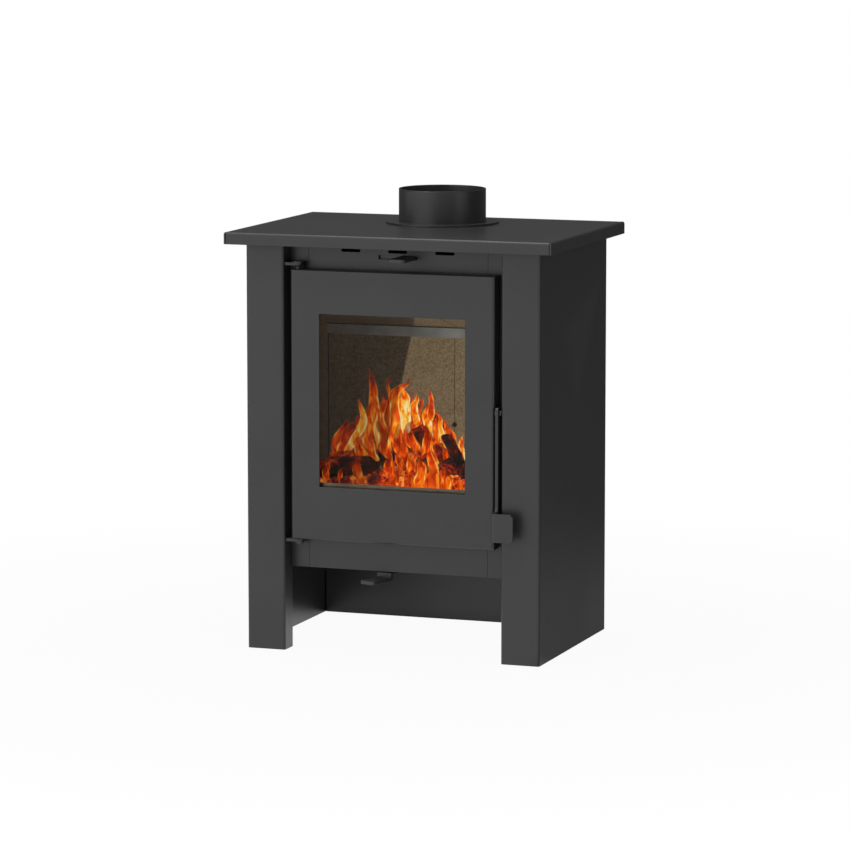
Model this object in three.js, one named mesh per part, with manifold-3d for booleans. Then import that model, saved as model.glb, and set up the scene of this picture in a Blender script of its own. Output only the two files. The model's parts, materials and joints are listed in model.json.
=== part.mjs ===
// Free-standing wood stove: a folded sheet-steel casing on two wide front legs, with a lined
// firebox hung between its sides, a glazed door on two pins, and an open log store below.
// Millimetres. X is to the right, Y runs from the front to the back, Z is up. The pieces are
// placed with Y = 0 on the front faces of the legs, and the whole stove is then centred.
import * as THREE from "three";
import { mergeVertices } from "three/addons/utils/BufferGeometryUtils.js";
import Module from "manifold-3d";

const wasm = await Module();
wasm.setup();

// ---- Driving dimensions -------------------------------------------------------------------

// Casing
const bodyWidth = 523; // over the side panels
const bodyDepth = 371; // leg faces to the rear folds
const stoveHeight = 714; // floor to the upper face of the top plate
const casingSheet = 2.5;
const casingBend = 4; // outside radius of a fold
const legWidth = 68;
const returnDepth = 36; // flange that runs back from the leg's inner edge
const rearFold = 15;
const seatGap = 0.3; // between faces that touch

// Top plate
const topSheet = 3;
const topLip = 20.7; // height of its turned-down edge
const topBend = 4;
const overhangFront = 30;
const overhangSide = 28;
const overhangBack = 11;
const cornerSeam = 1; // open slit between the lips at a corner

// Flue spigot
const flueDiameter = 150;
const flueWall = 2.5;
const flueRise = 59.5; // above the top plate
const flueFromBack = 114; // axis in front of the rear folds
const flueClearance = 1.5; // round the spigot in the top plate and the firebox's top
const flueTail = 5; // spigot left inside the firebox
const rosetteDiameter = 195;
const rosetteSheet = 3;
const rosetteHole = 5;
const rosetteHoles = 3;
const rosetteFirstHole = 205.7; // degrees, about the flue's axis

// Front facing, between the returns of the legs
const facingSetback = 30.5;
const facingPlate = 5;
const facingBottom = 140.3;
const edgeStripWidth = 33.2;
const stileWidth = 13.7; // facing left beside the firebox mouth
const mouthLap = 20.5; // the door's cover above the mouth
const mouthSill = 19.5; // and below it
const slotWidth = 34;
const slotHeight = 5;
const slotPitch = 83.7;
const slotDrop = 30; // the three air slots' centre line below the top

// Firebox
const boxPlate = 4; // front and floor
const boxWall = 3; // sides, back and top
const boxSideGap = 1.5; // to the casing
const boxBackGap = 22;
const boxTopDrop = 55.7; // its upper face below the stove's top
const liner = 18;
const sideLinerDrop = 58.3; // below the firebox's top
const backLinerRise = 31; // above the baffle's rear edge
const hearthRise = 38; // upper face of the hearth slab above the mouth's edge
const hearthLiner = 24.7;
const grateWidth = 220;
const grateDepth = 160;
const grateThickness = 18;
const grateLedge = 8; // steel left under the grate's edge
const grateSlots = 8;
const grateSlot = 10;
const grateClearance = 1;
const linerScrewHead = 9;
const linerScrewShank = 5;
const linerScrewRise = 104; // above the hearth

// Baffle
const baffleThickness = 20;
const baffleLength = 215;
const baffleSlope = 15; // degrees, rising towards the front
const baffleDrop = 133.3; // its rear edge below the firebox's top
const baffleLap = 14; // rebated joint between the halves
const baffleRailHeight = 18;
const baffleRailPlate = 4;
const bafflePegRadius = 6;
const bafflePegLength = 20;
const bafflePegInset = 36; // behind the baffle's front edge

// Ash pan
const panHeight = 60;
const panSheet = 2;
const panClearance = 4; // to the edge that carries the grate, so that it lifts out
const panSkid = 8;

// Door
const doorSideGap = 12.4; // to the returns
const doorBottom = 192.5;
const doorTopDrop = 61.5; // below the stove's top
const doorDepth = 26;
const doorSheet = 3;
const doorBend = 4;
const frameSide = 51.1; // door face left beside the window
const frameBottom = 91.5;
const frameTop = 74.5;
const glassThickness = 4;
const glassOverlap = 11;
const gasketThickness = 2;
const retainerPlate = 2.5;
const retainerGrip = 4; // how far a side retainer covers the glass
const sillHeight = 6; // how far the lower retainer shows above the window's edge
const ropeWidth = 9;
const ropeInset = 1; // groove wall inside the mouth's edge
const channelSheet = 2;
const ropeStand = 6.5; // depth of the rope's groove

// Hinges
const hingeInset = 20.7; // pin axis from the return
const hingeSetback = 14; // pin axis behind the leg faces
const pinRadius = 3.5;
const pinClearance = 0.08;
const hingePlate = 5;
const hingePlateWidth = 18;
const bossRadius = 9;
const bossFoot = 4.9; // radius at the boss's lower end
const bossHeight = 10;
const topBossGap = 2.5; // above the door
const bottomBossGap = 0.5; // below the door
const hingeBlock = 22; // height of the block in the door

// Door lever
const leverPlate = 5;
const leverGap = 3; // to the door's edge
const leverBarDepth = 19;
const leverProud = 3; // bar in front of the door's face
const leverHead = 10; // above the pivot
const leverDrop = 212.2; // pivot to the tab's lower edge
const tabHeight = 48;
const tabWidth = 39;
const tabReach = 27; // in front of the door's face
const tabCorner = 8;
const leverBend = 6;
const leverPivotRise = 230; // above the door's lower edge
const leverPivotSetback = 9.5;
const leverBoltRadius = 3;
const leverBoltHead = 2.4;
const leverHeadRadius = 5.5;
const leverWasherRadius = 6.5;
const leverNut = 5;
const catchRadius = 3;
const catchSetback = 21;
const catchDrop = 14; // catch pin below the pivot
const catchClearance = 0.6;
const catchLength = 7.5;

// Air controls
const airTabWidth = 29.5;
const airTabPlate = 5;
const airTabReach = 60.5; // in front of the facing
const airTabDrop = 39.5; // its middle below the stove's top
const airTabCorner = 6;
const airTravel = 37.5;
const airSlotHeight = 7;
const airSlotEnd = 0.7;
const airSlidePlate = 3;
const airSlideHeight = 12;
const railSheet = 2;
const railLip = 10; // rear wall above the shelf
const floorLeverWidth = 30;
const floorLeverPlate = 6;
const floorLeverReach = 92.3; // pivot to the strap's front face
const floorLeverFoot = 49;
const floorLeverDrop = 17.4; // height of the strap
const floorLeverAngle = -18; // degrees, swung to the left
const floorPivotSetback = 128;
const floorDiscRadius = 46;
const floorPortRadius = 8;
const floorPortCircle = 31;
const floorPorts = 4;
const floorBoltRadius = 5;
const floorBoltHead = 4;

// ---- Materials ----------------------------------------------------------------------------

const paint = { color: 0x434344, roughness: 0.62, metalness: 0.35 };
const steel = { color: 0xa6a19b, roughness: 0.45, metalness: 0.85 };
const vermiculite = { color: 0xb89d72, roughness: 0.95, metalness: 0 };
const castIron = { color: 0x2c2b2a, roughness: 0.8, metalness: 0.4 };
const rope = { color: 0x55524d, roughness: 1, metalness: 0 };
const glass = {
  color: 0xd8cdb8,
  roughness: 0.05,
  metalness: 0,
  transparent: true,
  opacity: 0.3,
};

// ---- Shapes and solids --------------------------------------------------------------------

const arcSteps = 4; // facets in a small quarter round
const flueSides = 48;
const pinSides = 24;

const axisX = new THREE.Vector3(1, 0, 0);
const axisY = new THREE.Vector3(0, 1, 0);
const axisZ = new THREE.Vector3(0, 0, 1);
const planes = {
  xy: new THREE.Matrix4(),
  yz: new THREE.Matrix4().makeBasis(axisY, axisZ, axisX),
  xz: new THREE.Matrix4().makeBasis(axisX, axisZ, axisY.clone().negate()),
};

const at = (x, y) => new THREE.Vector2(x, y);

// A shape drawn in one plane, drawn out from one level to another across that plane.
function extrude(shape, plane, from, to) {
  const geometry = new THREE.ExtrudeGeometry(shape, {
    depth: to - from,
    bevelEnabled: false,
    curveSegments: arcSteps,
  });
  geometry.translate(0, 0, plane === "xz" ? -to : from);
  return geometry.applyMatrix4(planes[plane]);
}

function rectangle(left, right, low, high, radius = 0) {
  const shape = new THREE.Shape();
  if (!radius)
    return shape
      .moveTo(left, low)
      .lineTo(right, low)
      .lineTo(right, high)
      .lineTo(left, high)
      .closePath();
  shape.absarc(right - radius, low + radius, radius, -Math.PI / 2, 0);
  shape.absarc(right - radius, high - radius, radius, 0, Math.PI / 2);
  shape.absarc(left + radius, high - radius, radius, Math.PI / 2, Math.PI);
  shape.absarc(left + radius, low + radius, radius, Math.PI, 1.5 * Math.PI);
  return shape.closePath();
}

function block(left, right, front, back, low, high) {
  return extrude(rectangle(left, right, front, back), "xy", low, high);
}

// The section of a folded sheet: a centre line whose corners are rounded, with thickness.
function folded(corners, sheet, outside) {
  const radius = Math.max(outside - sheet / 2, sheet / 2 + 0.2);
  const left = [];
  const right = [];
  const put = (point, along) => {
    const side = at(-along.y, along.x).multiplyScalar(sheet / 2);
    left.push(point.clone().add(side));
    right.unshift(point.clone().sub(side));
  };
  corners.forEach((corner, i) => {
    const before =
      i > 0 ? corner.clone().sub(corners[i - 1]).normalize() : null;
    const after =
      i < corners.length - 1
        ? corners[i + 1].clone().sub(corner).normalize()
        : null;
    if (!before || !after) {
      put(corner, before || after);
      return;
    }
    const turn = Math.sign(before.cross(after));
    const angle = Math.acos(before.dot(after));
    const inward = at(-before.y, before.x).multiplyScalar(turn * radius);
    const centre = corner
      .clone()
      .addScaledVector(before, -radius * Math.tan(angle / 2))
      .add(inward);
    for (let k = 0; k <= arcSteps; k++) {
      const swing = (turn * angle * k) / arcSteps;
      const along = before.clone().rotateAround(at(0, 0), swing);
      const spoke = inward.clone().rotateAround(at(0, 0), swing);
      put(centre.clone().sub(spoke), along);
    }
  });
  return new THREE.Shape([...left, ...right]);
}

// A round bar along an axis, from one level to another, centred on the other two coordinates.
function rod(radius, axis, from, to, a, b, sides = pinSides) {
  const bar = new THREE.CylinderGeometry(radius, radius, to - from, sides);
  const middle = (from + to) / 2;
  if (axis === "x") return bar.rotateZ(-Math.PI / 2).translate(middle, a, b);
  if (axis === "y") return bar.translate(a, middle, b);
  return bar.rotateX(Math.PI / 2).translate(a, b, middle);
}

// A profile of [radius, height] pairs turned about a vertical axis: it starts and ends on the
// axis, or is closed on itself.
function turned(profile, x, y, z, sides) {
  const loop = profile[0][0] > 0 ? [...profile, profile[0]] : profile;
  return new THREE.LatheGeometry(
    loop.map(([r, h]) => at(r, h)),
    sides,
  )
    .rotateX(Math.PI / 2)
    .translate(x, y, z);
}

// The end of a flat tab that points to the front, from its right side to its left.
function roundedEnd(x, width, front, radius) {
  const points = [];
  for (const side of [1, -1])
    for (let k = 0; k <= arcSteps; k++) {
      const angle = ((side > 0 ? k : arcSteps - k) * Math.PI) / 2 / arcSteps;
      points.push(
        at(
          x + side * (width / 2 - radius + radius * Math.cos(angle)),
          front + radius - radius * Math.sin(angle),
        ),
      );
    }
  return points;
}

function solid(geometry) {
  const bare = geometry.clone();
  bare.deleteAttribute("normal");
  bare.deleteAttribute("uv");
  const merged = mergeVertices(bare, 1e-4);
  return new wasm.Manifold(
    new wasm.Mesh({
      numProp: 3,
      vertProperties: merged.attributes.position.array,
      triVerts: new Uint32Array(merged.index.array),
    }),
  );
}

function surface(body) {
  const mesh = body.getMesh();
  const geometry = new THREE.BufferGeometry();
  geometry.setAttribute(
    "position",
    new THREE.BufferAttribute(mesh.vertProperties, 3),
  );
  geometry.setIndex(new THREE.BufferAttribute(mesh.triVerts, 1));
  geometry.computeVertexNormals();
  return geometry;
}

const join = (first, ...others) =>
  surface(others.reduce((body, o) => body.add(solid(o)), solid(first)));
const cut = (first, ...others) =>
  surface(others.reduce((body, o) => body.subtract(solid(o)), solid(first)));
const common = (first, second) =>
  surface(solid(first).intersect(solid(second)));

// ---- Scene graph --------------------------------------------------------------------------

const root = new THREE.Group();
const frontReach = Math.max(
  overhangFront,
  floorLeverReach + floorLeverFoot - floorPivotSetback,
);
const stove = new THREE.Group();
stove.position.y = (frontReach - bodyDepth - overhangBack) / 2;
root.add(stove);

function piece(name, geometry, look, parent = stove) {
  const mesh = new THREE.Mesh(geometry, new THREE.MeshStandardMaterial(look));
  mesh.name = name;
  parent.add(mesh);
  return mesh;
}

// A group that turns about a point of the stove, with its pieces still placed in stove
// coordinates.
function hinged(parent, x, y, z) {
  const joint = new THREE.Group();
  const contents = new THREE.Group();
  joint.position.set(x, y, z);
  contents.position.set(-x, -y, -z);
  joint.add(contents);
  parent.add(joint);
  return contents;
}

// ---- Levels and planes that several pieces share ------------------------------------------

const halfBody = bodyWidth / 2;
const halfClear = halfBody - legWidth; // between the returns
const sideTop = stoveHeight - topSheet - seatGap;
const flueSetback = bodyDepth - flueFromBack;
const slotLevel = stoveHeight - slotDrop;
const airTabLevel = stoveHeight - airTabDrop;
const doorTop = stoveHeight - doorTopDrop;
const mouthTop = doorTop - mouthLap;
const mouthBottom = doorBottom + mouthSill;
const windowTop = doorTop - frameTop;
const windowBottom = doorBottom + frameBottom;
const pivotLevel = doorBottom + leverPivotRise;
const boxTop = stoveHeight - boxTopDrop;
const sideLinerTop = boxTop - sideLinerDrop;
const baffleRear = boxTop - baffleDrop;
const backLinerTop = baffleRear + backLinerRise;
const hearthLevel = mouthBottom + hearthRise;
const linerScrewLevel = hearthLevel + linerScrewRise;
const facingBack = facingSetback + facingPlate;
const backPanelFront = bodyDepth - 2 * casingSheet - seatGap;
const halfBox = halfBody - casingSheet - boxSideGap;
const boxFront = Math.max(facingBack, returnDepth) + seatGap;
const boxInner = boxFront + boxPlate;
const boxBack = backPanelFront - boxBackGap;
const floorTop = facingBottom + boxPlate;
const halfLined = halfBox - boxWall - seatGap - liner;
const linedBack = boxBack - boxWall - seatGap - liner;
const halfPlate = halfClear - 2 * seatGap - edgeStripWidth;
const halfMouth = halfPlate - stileWidth;
const halfDoor = halfClear - doorSideGap;

// ---- Casing -------------------------------------------------------------------------------

for (const side of [-1, 1]) {
  const outer = side * (halfBody - casingSheet / 2);
  const inner = side * (halfClear + casingSheet / 2);
  const section = folded(
    [
      at(side * (halfBody - rearFold), bodyDepth - casingSheet / 2),
      at(outer, bodyDepth - casingSheet / 2),
      at(outer, casingSheet / 2),
      at(inner, casingSheet / 2),
      at(inner, returnDepth),
    ],
    casingSheet,
    casingBend,
  );
  piece(
    side < 0 ? "left_side_panel" : "right_side_panel",
    extrude(section, "xy", 0, sideTop),
    paint,
  );
}

const halfBackPanel = halfBody - casingBend - seatGap;
piece(
  "back_panel",
  block(
    -halfBackPanel,
    halfBackPanel,
    backPanelFront,
    backPanelFront + casingSheet,
    0,
    sideTop,
  ),
  paint,
);

// The top plate is one sheet with four edges turned down. The side lips run the whole depth
// and the front and back lips end short of them at an open slit.
const halfTop = halfBody + overhangSide;
const topBack = bodyDepth + overhangBack;
const lipBottom = stoveHeight - topLip;
const topCentre = stoveHeight - topSheet / 2;
const halfFrontLip = halfTop - topSheet - cornerSeam;
const frontToBack = extrude(
  folded(
    [
      at(-overhangFront + topSheet / 2, lipBottom),
      at(-overhangFront + topSheet / 2, topCentre),
      at(topBack - topSheet / 2, topCentre),
      at(topBack - topSheet / 2, lipBottom),
    ],
    topSheet,
    topBend,
  ),
  "yz",
  -halfFrontLip,
  halfFrontLip,
);
const sideLip = (side) =>
  extrude(
    folded(
      [
        at(side * (halfTop - topSheet / 2), lipBottom),
        at(side * (halfTop - topSheet / 2), topCentre),
        at(side * (halfFrontLip - topBend), topCentre),
      ],
      topSheet,
      topBend,
    ),
    "xz",
    -overhangFront,
    topBack,
  );
const cornerTrim = (front, back) =>
  block(
    -halfFrontLip,
    halfFrontLip,
    front,
    back,
    lipBottom - 1,
    stoveHeight + 1,
  );
const corners = [
  cornerTrim(-overhangFront - 1, -overhangFront + topBend),
  cornerTrim(topBack - topBend, topBack + 1),
];
const flueHole = (radius, low, high) =>
  rod(radius, "z", low, high, 0, flueSetback, flueSides);
piece(
  "top_plate",
  cut(
    join(
      frontToBack,
      cut(sideLip(-1), ...corners),
      cut(sideLip(1), ...corners),
    ),
    flueHole(
      flueDiameter / 2 + flueClearance,
      stoveHeight - topSheet - 1,
      stoveHeight + 1,
    ),
  ),
  paint,
);

// ---- Flue ---------------------------------------------------------------------------------

const flueRadius = flueDiameter / 2;
const flueBore = flueRadius - flueWall;
const flueLow = boxTop - boxWall - flueTail;
const flueLength = stoveHeight + flueRise - flueLow;
piece(
  "flue_spigot",
  turned(
    [
      [flueBore, 0],
      [flueRadius, 0],
      [flueRadius, flueLength],
      [flueBore, flueLength],
    ],
    0,
    flueSetback,
    flueLow,
    flueSides,
  ),
  paint,
);

const rosetteRadius = rosetteDiameter / 2;
const rosetteBore = flueRadius + seatGap;
const screwCircle = (rosetteRadius + rosetteBore) / 2;
const rosetteLow = stoveHeight + seatGap;
const screwHoles = Array.from({ length: rosetteHoles }, (_, i) => {
  const angle = THREE.MathUtils.degToRad(
    rosetteFirstHole + (360 / rosetteHoles) * i,
  );
  return rod(
    rosetteHole / 2,
    "z",
    rosetteLow - 1,
    rosetteLow + rosetteSheet + 1,
    screwCircle * Math.cos(angle),
    flueSetback + screwCircle * Math.sin(angle),
    12,
  );
});
piece(
  "flue_rosette",
  cut(
    turned(
      [
        [rosetteBore, 0],
        [rosetteRadius, 0],
        [rosetteRadius, rosetteSheet],
        [rosetteBore, rosetteSheet],
      ],
      0,
      flueSetback,
      rosetteLow,
      flueSides,
    ),
    ...screwHoles,
  ),
  paint,
);

// ---- Front facing -------------------------------------------------------------------------

// A slot with round ends, cut from the front of a plate to its back.
const roundSlot = (x, z, width, height, front, back) =>
  extrude(
    rectangle(
      x - width / 2,
      x + width / 2,
      z - height / 2,
      z + height / 2,
      height * 0.49,
    ),
    "xz",
    front - 1,
    back + 1,
  );
const mouth = (front, back) =>
  extrude(
    rectangle(-halfMouth, halfMouth, mouthBottom, mouthTop),
    "xz",
    front - 1,
    back + 1,
  );
const airSlotHalf = (airTabWidth + airTravel) / 2 + airSlotEnd;
piece(
  "front_facing",
  cut(
    block(
      -halfPlate,
      halfPlate,
      facingSetback,
      facingBack,
      facingBottom,
      sideTop,
    ),
    mouth(facingSetback, facingBack),
    ...[-1, 0, 1].map((i) =>
      roundSlot(
        i * slotPitch,
        slotLevel,
        slotWidth,
        slotHeight,
        facingSetback,
        facingBack,
      ),
    ),
    block(
      -airSlotHalf,
      airSlotHalf,
      facingSetback - 1,
      facingBack + 1,
      airTabLevel - airSlotHeight / 2,
      airTabLevel + airSlotHeight / 2,
    ),
  ),
  paint,
);

for (const side of [-1, 1]) {
  const near = side * (halfPlate + seatGap);
  const far = side * (halfClear - seatGap);
  piece(
    side < 0 ? "facing_strip_left" : "facing_strip_right",
    block(
      Math.min(near, far),
      Math.max(near, far),
      facingSetback,
      facingBack,
      facingBottom,
      sideTop,
    ),
    paint,
  );
}

// ---- Firebox ------------------------------------------------------------------------------

const wallLow = floorTop + seatGap;
const wallHigh = boxTop - boxWall - seatGap;
const floorTurn = THREE.MathUtils.degToRad(floorLeverAngle);
const portHoles = (turn, y, low, high) =>
  Array.from({ length: floorPorts }, (_, i) => {
    const angle = (2 * Math.PI * i) / floorPorts - turn;
    return rod(
      floorPortRadius,
      "z",
      low - 1,
      high + 1,
      floorPortCircle * Math.sin(angle),
      y + floorPortCircle * Math.cos(angle),
      16,
    );
  });
const floorBoltHole = (radius, low, high) =>
  rod(radius, "z", low, high, 0, floorPivotSetback);

piece(
  "firebox_floor",
  cut(
    block(-halfBox, halfBox, boxFront, boxBack, facingBottom, floorTop),
    floorBoltHole(floorBoltRadius + seatGap, facingBottom - 1, floorTop + 1),
    ...portHoles(floorTurn, floorPivotSetback, facingBottom, floorTop),
  ),
  paint,
);
piece(
  "firebox_front",
  cut(
    block(-halfBox, halfBox, boxFront, boxInner, wallLow, wallHigh),
    mouth(boxFront, boxInner),
  ),
  paint,
);
for (const side of [-1, 1]) {
  const near = side * (halfBox - boxWall);
  const far = side * halfBox;
  piece(
    side < 0 ? "firebox_left" : "firebox_right",
    block(
      Math.min(near, far),
      Math.max(near, far),
      boxInner + seatGap,
      boxBack - boxWall - seatGap,
      wallLow,
      wallHigh,
    ),
    paint,
  );
}
piece(
  "firebox_back",
  block(-halfBox, halfBox, boxBack - boxWall, boxBack, wallLow, wallHigh),
  paint,
);
piece(
  "firebox_top",
  cut(
    block(-halfBox, halfBox, boxFront, boxBack, boxTop - boxWall, boxTop),
    flueHole(flueRadius + flueClearance, boxTop - boxWall - 1, boxTop + 1),
  ),
  paint,
);

// The hearth: a steel plate welded between the walls, a refractory slab on it and a cast
// grate let into both.
const hearthPlateTop = hearthLevel - hearthLiner - seatGap;
const halfHearth = halfBox - boxWall - seatGap;
const hearthFront = boxInner + seatGap;
const hearthBack = boxBack - boxWall - seatGap;
const grateFront = (hearthFront + hearthBack - grateDepth) / 2;
const grateBack = grateFront + grateDepth;
const grateHole = (margin, low, high) =>
  block(
    -grateWidth / 2 - margin,
    grateWidth / 2 + margin,
    grateFront - margin,
    grateBack + margin,
    low - 1,
    high + 1,
  );
piece(
  "hearth_plate",
  cut(
    block(
      -halfHearth,
      halfHearth,
      hearthFront,
      hearthBack,
      hearthPlateTop - boxWall,
      hearthPlateTop,
    ),
    grateHole(-grateLedge, hearthPlateTop - boxWall, hearthPlateTop),
  ),
  paint,
);
piece(
  "hearth_liner",
  cut(
    block(
      -halfHearth,
      halfHearth,
      hearthFront,
      hearthBack,
      hearthPlateTop + seatGap,
      hearthLevel,
    ),
    grateHole(grateClearance, hearthPlateTop, hearthLevel),
  ),
  vermiculite,
);
const grateLow = hearthPlateTop + seatGap;
const gratePitch = grateWidth / (grateSlots + 0.6);
piece(
  "grate",
  cut(
    block(
      -grateWidth / 2,
      grateWidth / 2,
      grateFront,
      grateBack,
      grateLow,
      grateLow + grateThickness,
    ),
    ...Array.from({ length: grateSlots }, (_, i) => {
      const x = (i - (grateSlots - 1) / 2) * gratePitch;
      return extrude(
        rectangle(
          x - grateSlot / 2,
          x + grateSlot / 2,
          grateFront + 2 * grateSlot,
          grateBack - 2 * grateSlot,
          grateSlot * 0.49,
        ),
        "xy",
        grateLow - 1,
        grateLow + grateThickness + 1,
      );
    }),
  ),
  castIron,
);

// The liners stand on the hearth slab. The back is in two boards that meet on the centre
// line, with a screw through the joint.
for (const side of [-1, 1]) {
  const near = side * halfLined;
  const far = side * (halfLined + liner);
  piece(
    side < 0 ? "side_liner_left" : "side_liner_right",
    block(
      Math.min(near, far),
      Math.max(near, far),
      hearthFront,
      hearthBack,
      hearthLevel + seatGap,
      sideLinerTop,
    ),
    vermiculite,
  );
}
const screwHole = rod(
  linerScrewShank / 2 + seatGap,
  "y",
  linedBack - 1,
  hearthBack + 1,
  0,
  linerScrewLevel,
  12,
);
for (const side of [-1, 1]) {
  const near = side * seatGap;
  const far = side * (halfLined - seatGap);
  piece(
    side < 0 ? "back_liner_left" : "back_liner_right",
    cut(
      block(
        Math.min(near, far),
        Math.max(near, far),
        linedBack,
        hearthBack,
        hearthLevel + seatGap,
        backLinerTop,
      ),
      screwHole,
    ),
    vermiculite,
  );
}
const screwFace = linedBack - seatGap;
const screwRadius = linerScrewHead / 2;
piece(
  "liner_screw",
  join(
    common(
      new THREE.SphereGeometry(screwRadius, 16, 8)
        .scale(1, 0.6, 1)
        .translate(0, screwFace, linerScrewLevel),
      block(
        -screwRadius,
        screwRadius,
        screwFace - screwRadius,
        screwFace,
        linerScrewLevel - screwRadius,
        linerScrewLevel + screwRadius,
      ),
    ),
    rod(
      linerScrewShank / 2,
      "y",
      screwFace - 1,
      hearthBack - seatGap,
      0,
      linerScrewLevel,
      12,
    ),
  ),
  steel,
);

// ---- Baffle -------------------------------------------------------------------------------

piece(
  "baffle_rail",
  block(
    -halfLined + seatGap,
    halfLined - seatGap,
    linedBack - seatGap - baffleRailPlate,
    linedBack - seatGap,
    baffleRear - seatGap - baffleRailHeight,
    baffleRear - seatGap,
  ),
  steel,
);

// The baffle rises towards the front, in two boards that overlap at a rebated joint.
const slope = THREE.MathUtils.degToRad(baffleSlope);
const baffleEnd = linedBack - seatGap;
const baffleLayer = (low, high) => {
  const run = baffleLength * Math.cos(slope);
  const rise = baffleLength * Math.sin(slope);
  const point = (along, across) =>
    at(
      baffleEnd - along * run,
      baffleRear + along * rise + across / Math.cos(slope),
    );
  return new THREE.Shape([
    point(0, low),
    point(0, high),
    point(1, high),
    point(1, low),
  ]);
};
const halfBaffle = halfLined - seatGap;
const halfJoint = seatGap / 2;
const lap = baffleLap / 2;
const middle = baffleThickness / 2;
piece(
  "baffle_left",
  join(
    extrude(
      baffleLayer(0, baffleThickness),
      "yz",
      -halfBaffle,
      -lap - halfJoint,
    ),
    extrude(
      baffleLayer(0, middle - halfJoint),
      "yz",
      -lap - 1,
      lap - halfJoint,
    ),
  ),
  vermiculite,
);
piece(
  "baffle_right",
  join(
    extrude(baffleLayer(0, baffleThickness), "yz", lap + halfJoint, halfBaffle),
    extrude(
      baffleLayer(middle + halfJoint, baffleThickness),
      "yz",
      -lap + halfJoint,
      lap + 1,
    ),
  ),
  vermiculite,
);
const pegSetback = baffleEnd - baffleLength * Math.cos(slope) + bafflePegInset;
const pegLevel =
  baffleRear +
  (baffleEnd - pegSetback) * Math.tan(slope) -
  (bafflePegRadius + seatGap) / Math.cos(slope);
for (const side of [-1, 1]) {
  const near = side * (halfLined - seatGap);
  const far = side * (halfLined - seatGap - bafflePegLength);
  piece(
    side < 0 ? "baffle_peg_left" : "baffle_peg_right",
    rod(
      bafflePegRadius,
      "x",
      Math.min(near, far),
      Math.max(near, far),
      pegSetback,
      pegLevel,
    ),
    steel,
  );
}

// ---- Ash pan ------------------------------------------------------------------------------

// It stands on two runners under the grate, and lifts out through the grate's seat.
const panLow = floorTop + seatGap;
const panFloor = panLow + panSkid;
const halfPan = grateWidth / 2 - grateLedge - panClearance;
const panFront = grateFront + grateLedge + panClearance;
const panBack = grateBack - grateLedge - panClearance;
const runner = (x) =>
  block(
    x - panSkid,
    x + panSkid,
    panFront,
    panBack,
    panLow,
    panFloor + panSheet / 2,
  );
piece(
  "ash_pan",
  join(
    cut(
      block(
        -halfPan,
        halfPan,
        panFront,
        panBack,
        panFloor,
        panFloor + panHeight,
      ),
      block(
        -halfPan + panSheet,
        halfPan - panSheet,
        panFront + panSheet,
        panBack - panSheet,
        panFloor + panSheet,
        panFloor + panHeight + 1,
      ),
    ),
    runner(-halfPan + panSkid),
    runner(halfPan - panSkid),
  ),
  paint,
);

// ---- Air controls -------------------------------------------------------------------------

// Upper control: a plate behind the facing slides sideways on a shelf, moved by a tab that
// comes through the slot. At rest the tab is at the right-hand end.
const railBack = Math.max(
  boxFront,
  facingBack + seatGap + airSlidePlate + seatGap,
);
const slideLow = airTabLevel - airSlideHeight / 2;
const shelfTop = slideLow - seatGap;
const slideCentre = airTravel / 2;
const halfSlide = airSlotHalf + airTravel / 2 + airTabPlate;
const airSlide = new THREE.Group();
stove.add(airSlide);
piece(
  "air_slide",
  join(
    block(
      slideCentre - halfSlide,
      slideCentre + halfSlide,
      facingBack + seatGap,
      facingBack + seatGap + airSlidePlate,
      slideLow,
      slideLow + airSlideHeight,
    ),
    extrude(
      new THREE.Shape([
        at(slideCentre - airTabWidth / 2, facingBack + seatGap + 1),
        at(slideCentre + airTabWidth / 2, facingBack + seatGap + 1),
        ...roundedEnd(
          slideCentre,
          airTabWidth,
          facingSetback - airTabReach,
          airTabCorner,
        ),
      ]),
      "xy",
      airTabLevel - airTabPlate / 2,
      airTabLevel + airTabPlate / 2,
    ),
  ),
  paint,
  airSlide,
);

const halfRail = halfSlide + airTravel / 2 + airTabPlate;
const rail = join(
  block(
    -halfRail,
    halfRail,
    facingBack + seatGap,
    railBack + railSheet,
    shelfTop - railSheet,
    shelfTop,
  ),
  block(
    -halfRail,
    halfRail,
    railBack,
    railBack + railSheet,
    boxTop + seatGap,
    shelfTop + railLip,
  ),
);
piece("air_slide_rail", rail, paint);

// Lower control: a disc under the firebox floor turns on a bolt and opens or shuts the
// floor's ports. Its arm drops at the front and ends in a flat foot.
const floorLever = new THREE.Group();
floorLever.position.set(0, floorPivotSetback, 0);
floorLever.rotation.z = floorTurn;
stove.add(floorLever);
const leverTop = facingBottom - seatGap;
const discHigh = leverTop;
const discLow = leverTop - floorLeverPlate;
const strapCentre = floorLeverReach - floorLeverPlate / 2;
const footCentre = leverTop - floorLeverDrop + floorLeverPlate / 2;
const armSection = folded(
  [
    at(0, discHigh - floorLeverPlate / 2),
    at(-strapCentre, discHigh - floorLeverPlate / 2),
    at(-strapCentre, footCentre),
    at(-floorLeverReach - floorLeverFoot, footCentre),
  ],
  floorLeverPlate,
  floorLeverPlate + 0.5,
);
const footOutline = extrude(
  new THREE.Shape([
    at(-floorLeverWidth / 2, 0),
    at(floorLeverWidth / 2, 0),
    ...roundedEnd(
      0,
      floorLeverWidth,
      -floorLeverReach - floorLeverFoot,
      airTabCorner,
    ),
  ]),
  "xy",
  0,
  stoveHeight,
);
piece(
  "floor_air_lever",
  cut(
    join(
      common(
        extrude(
          armSection,
          "yz",
          -floorLeverWidth / 2,
          floorLeverWidth / 2,
        ),
        footOutline,
      ),
      rod(floorDiscRadius, "z", discLow, discHigh, 0, 0, 32),
    ),
    rod(
      floorBoltRadius + pinClearance,
      "z",
      discLow - 1,
      discHigh + 1,
      0,
      0,
    ),
    ...portHoles(0, 0, discLow, discHigh),
  ),
  paint,
  floorLever,
);
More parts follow.
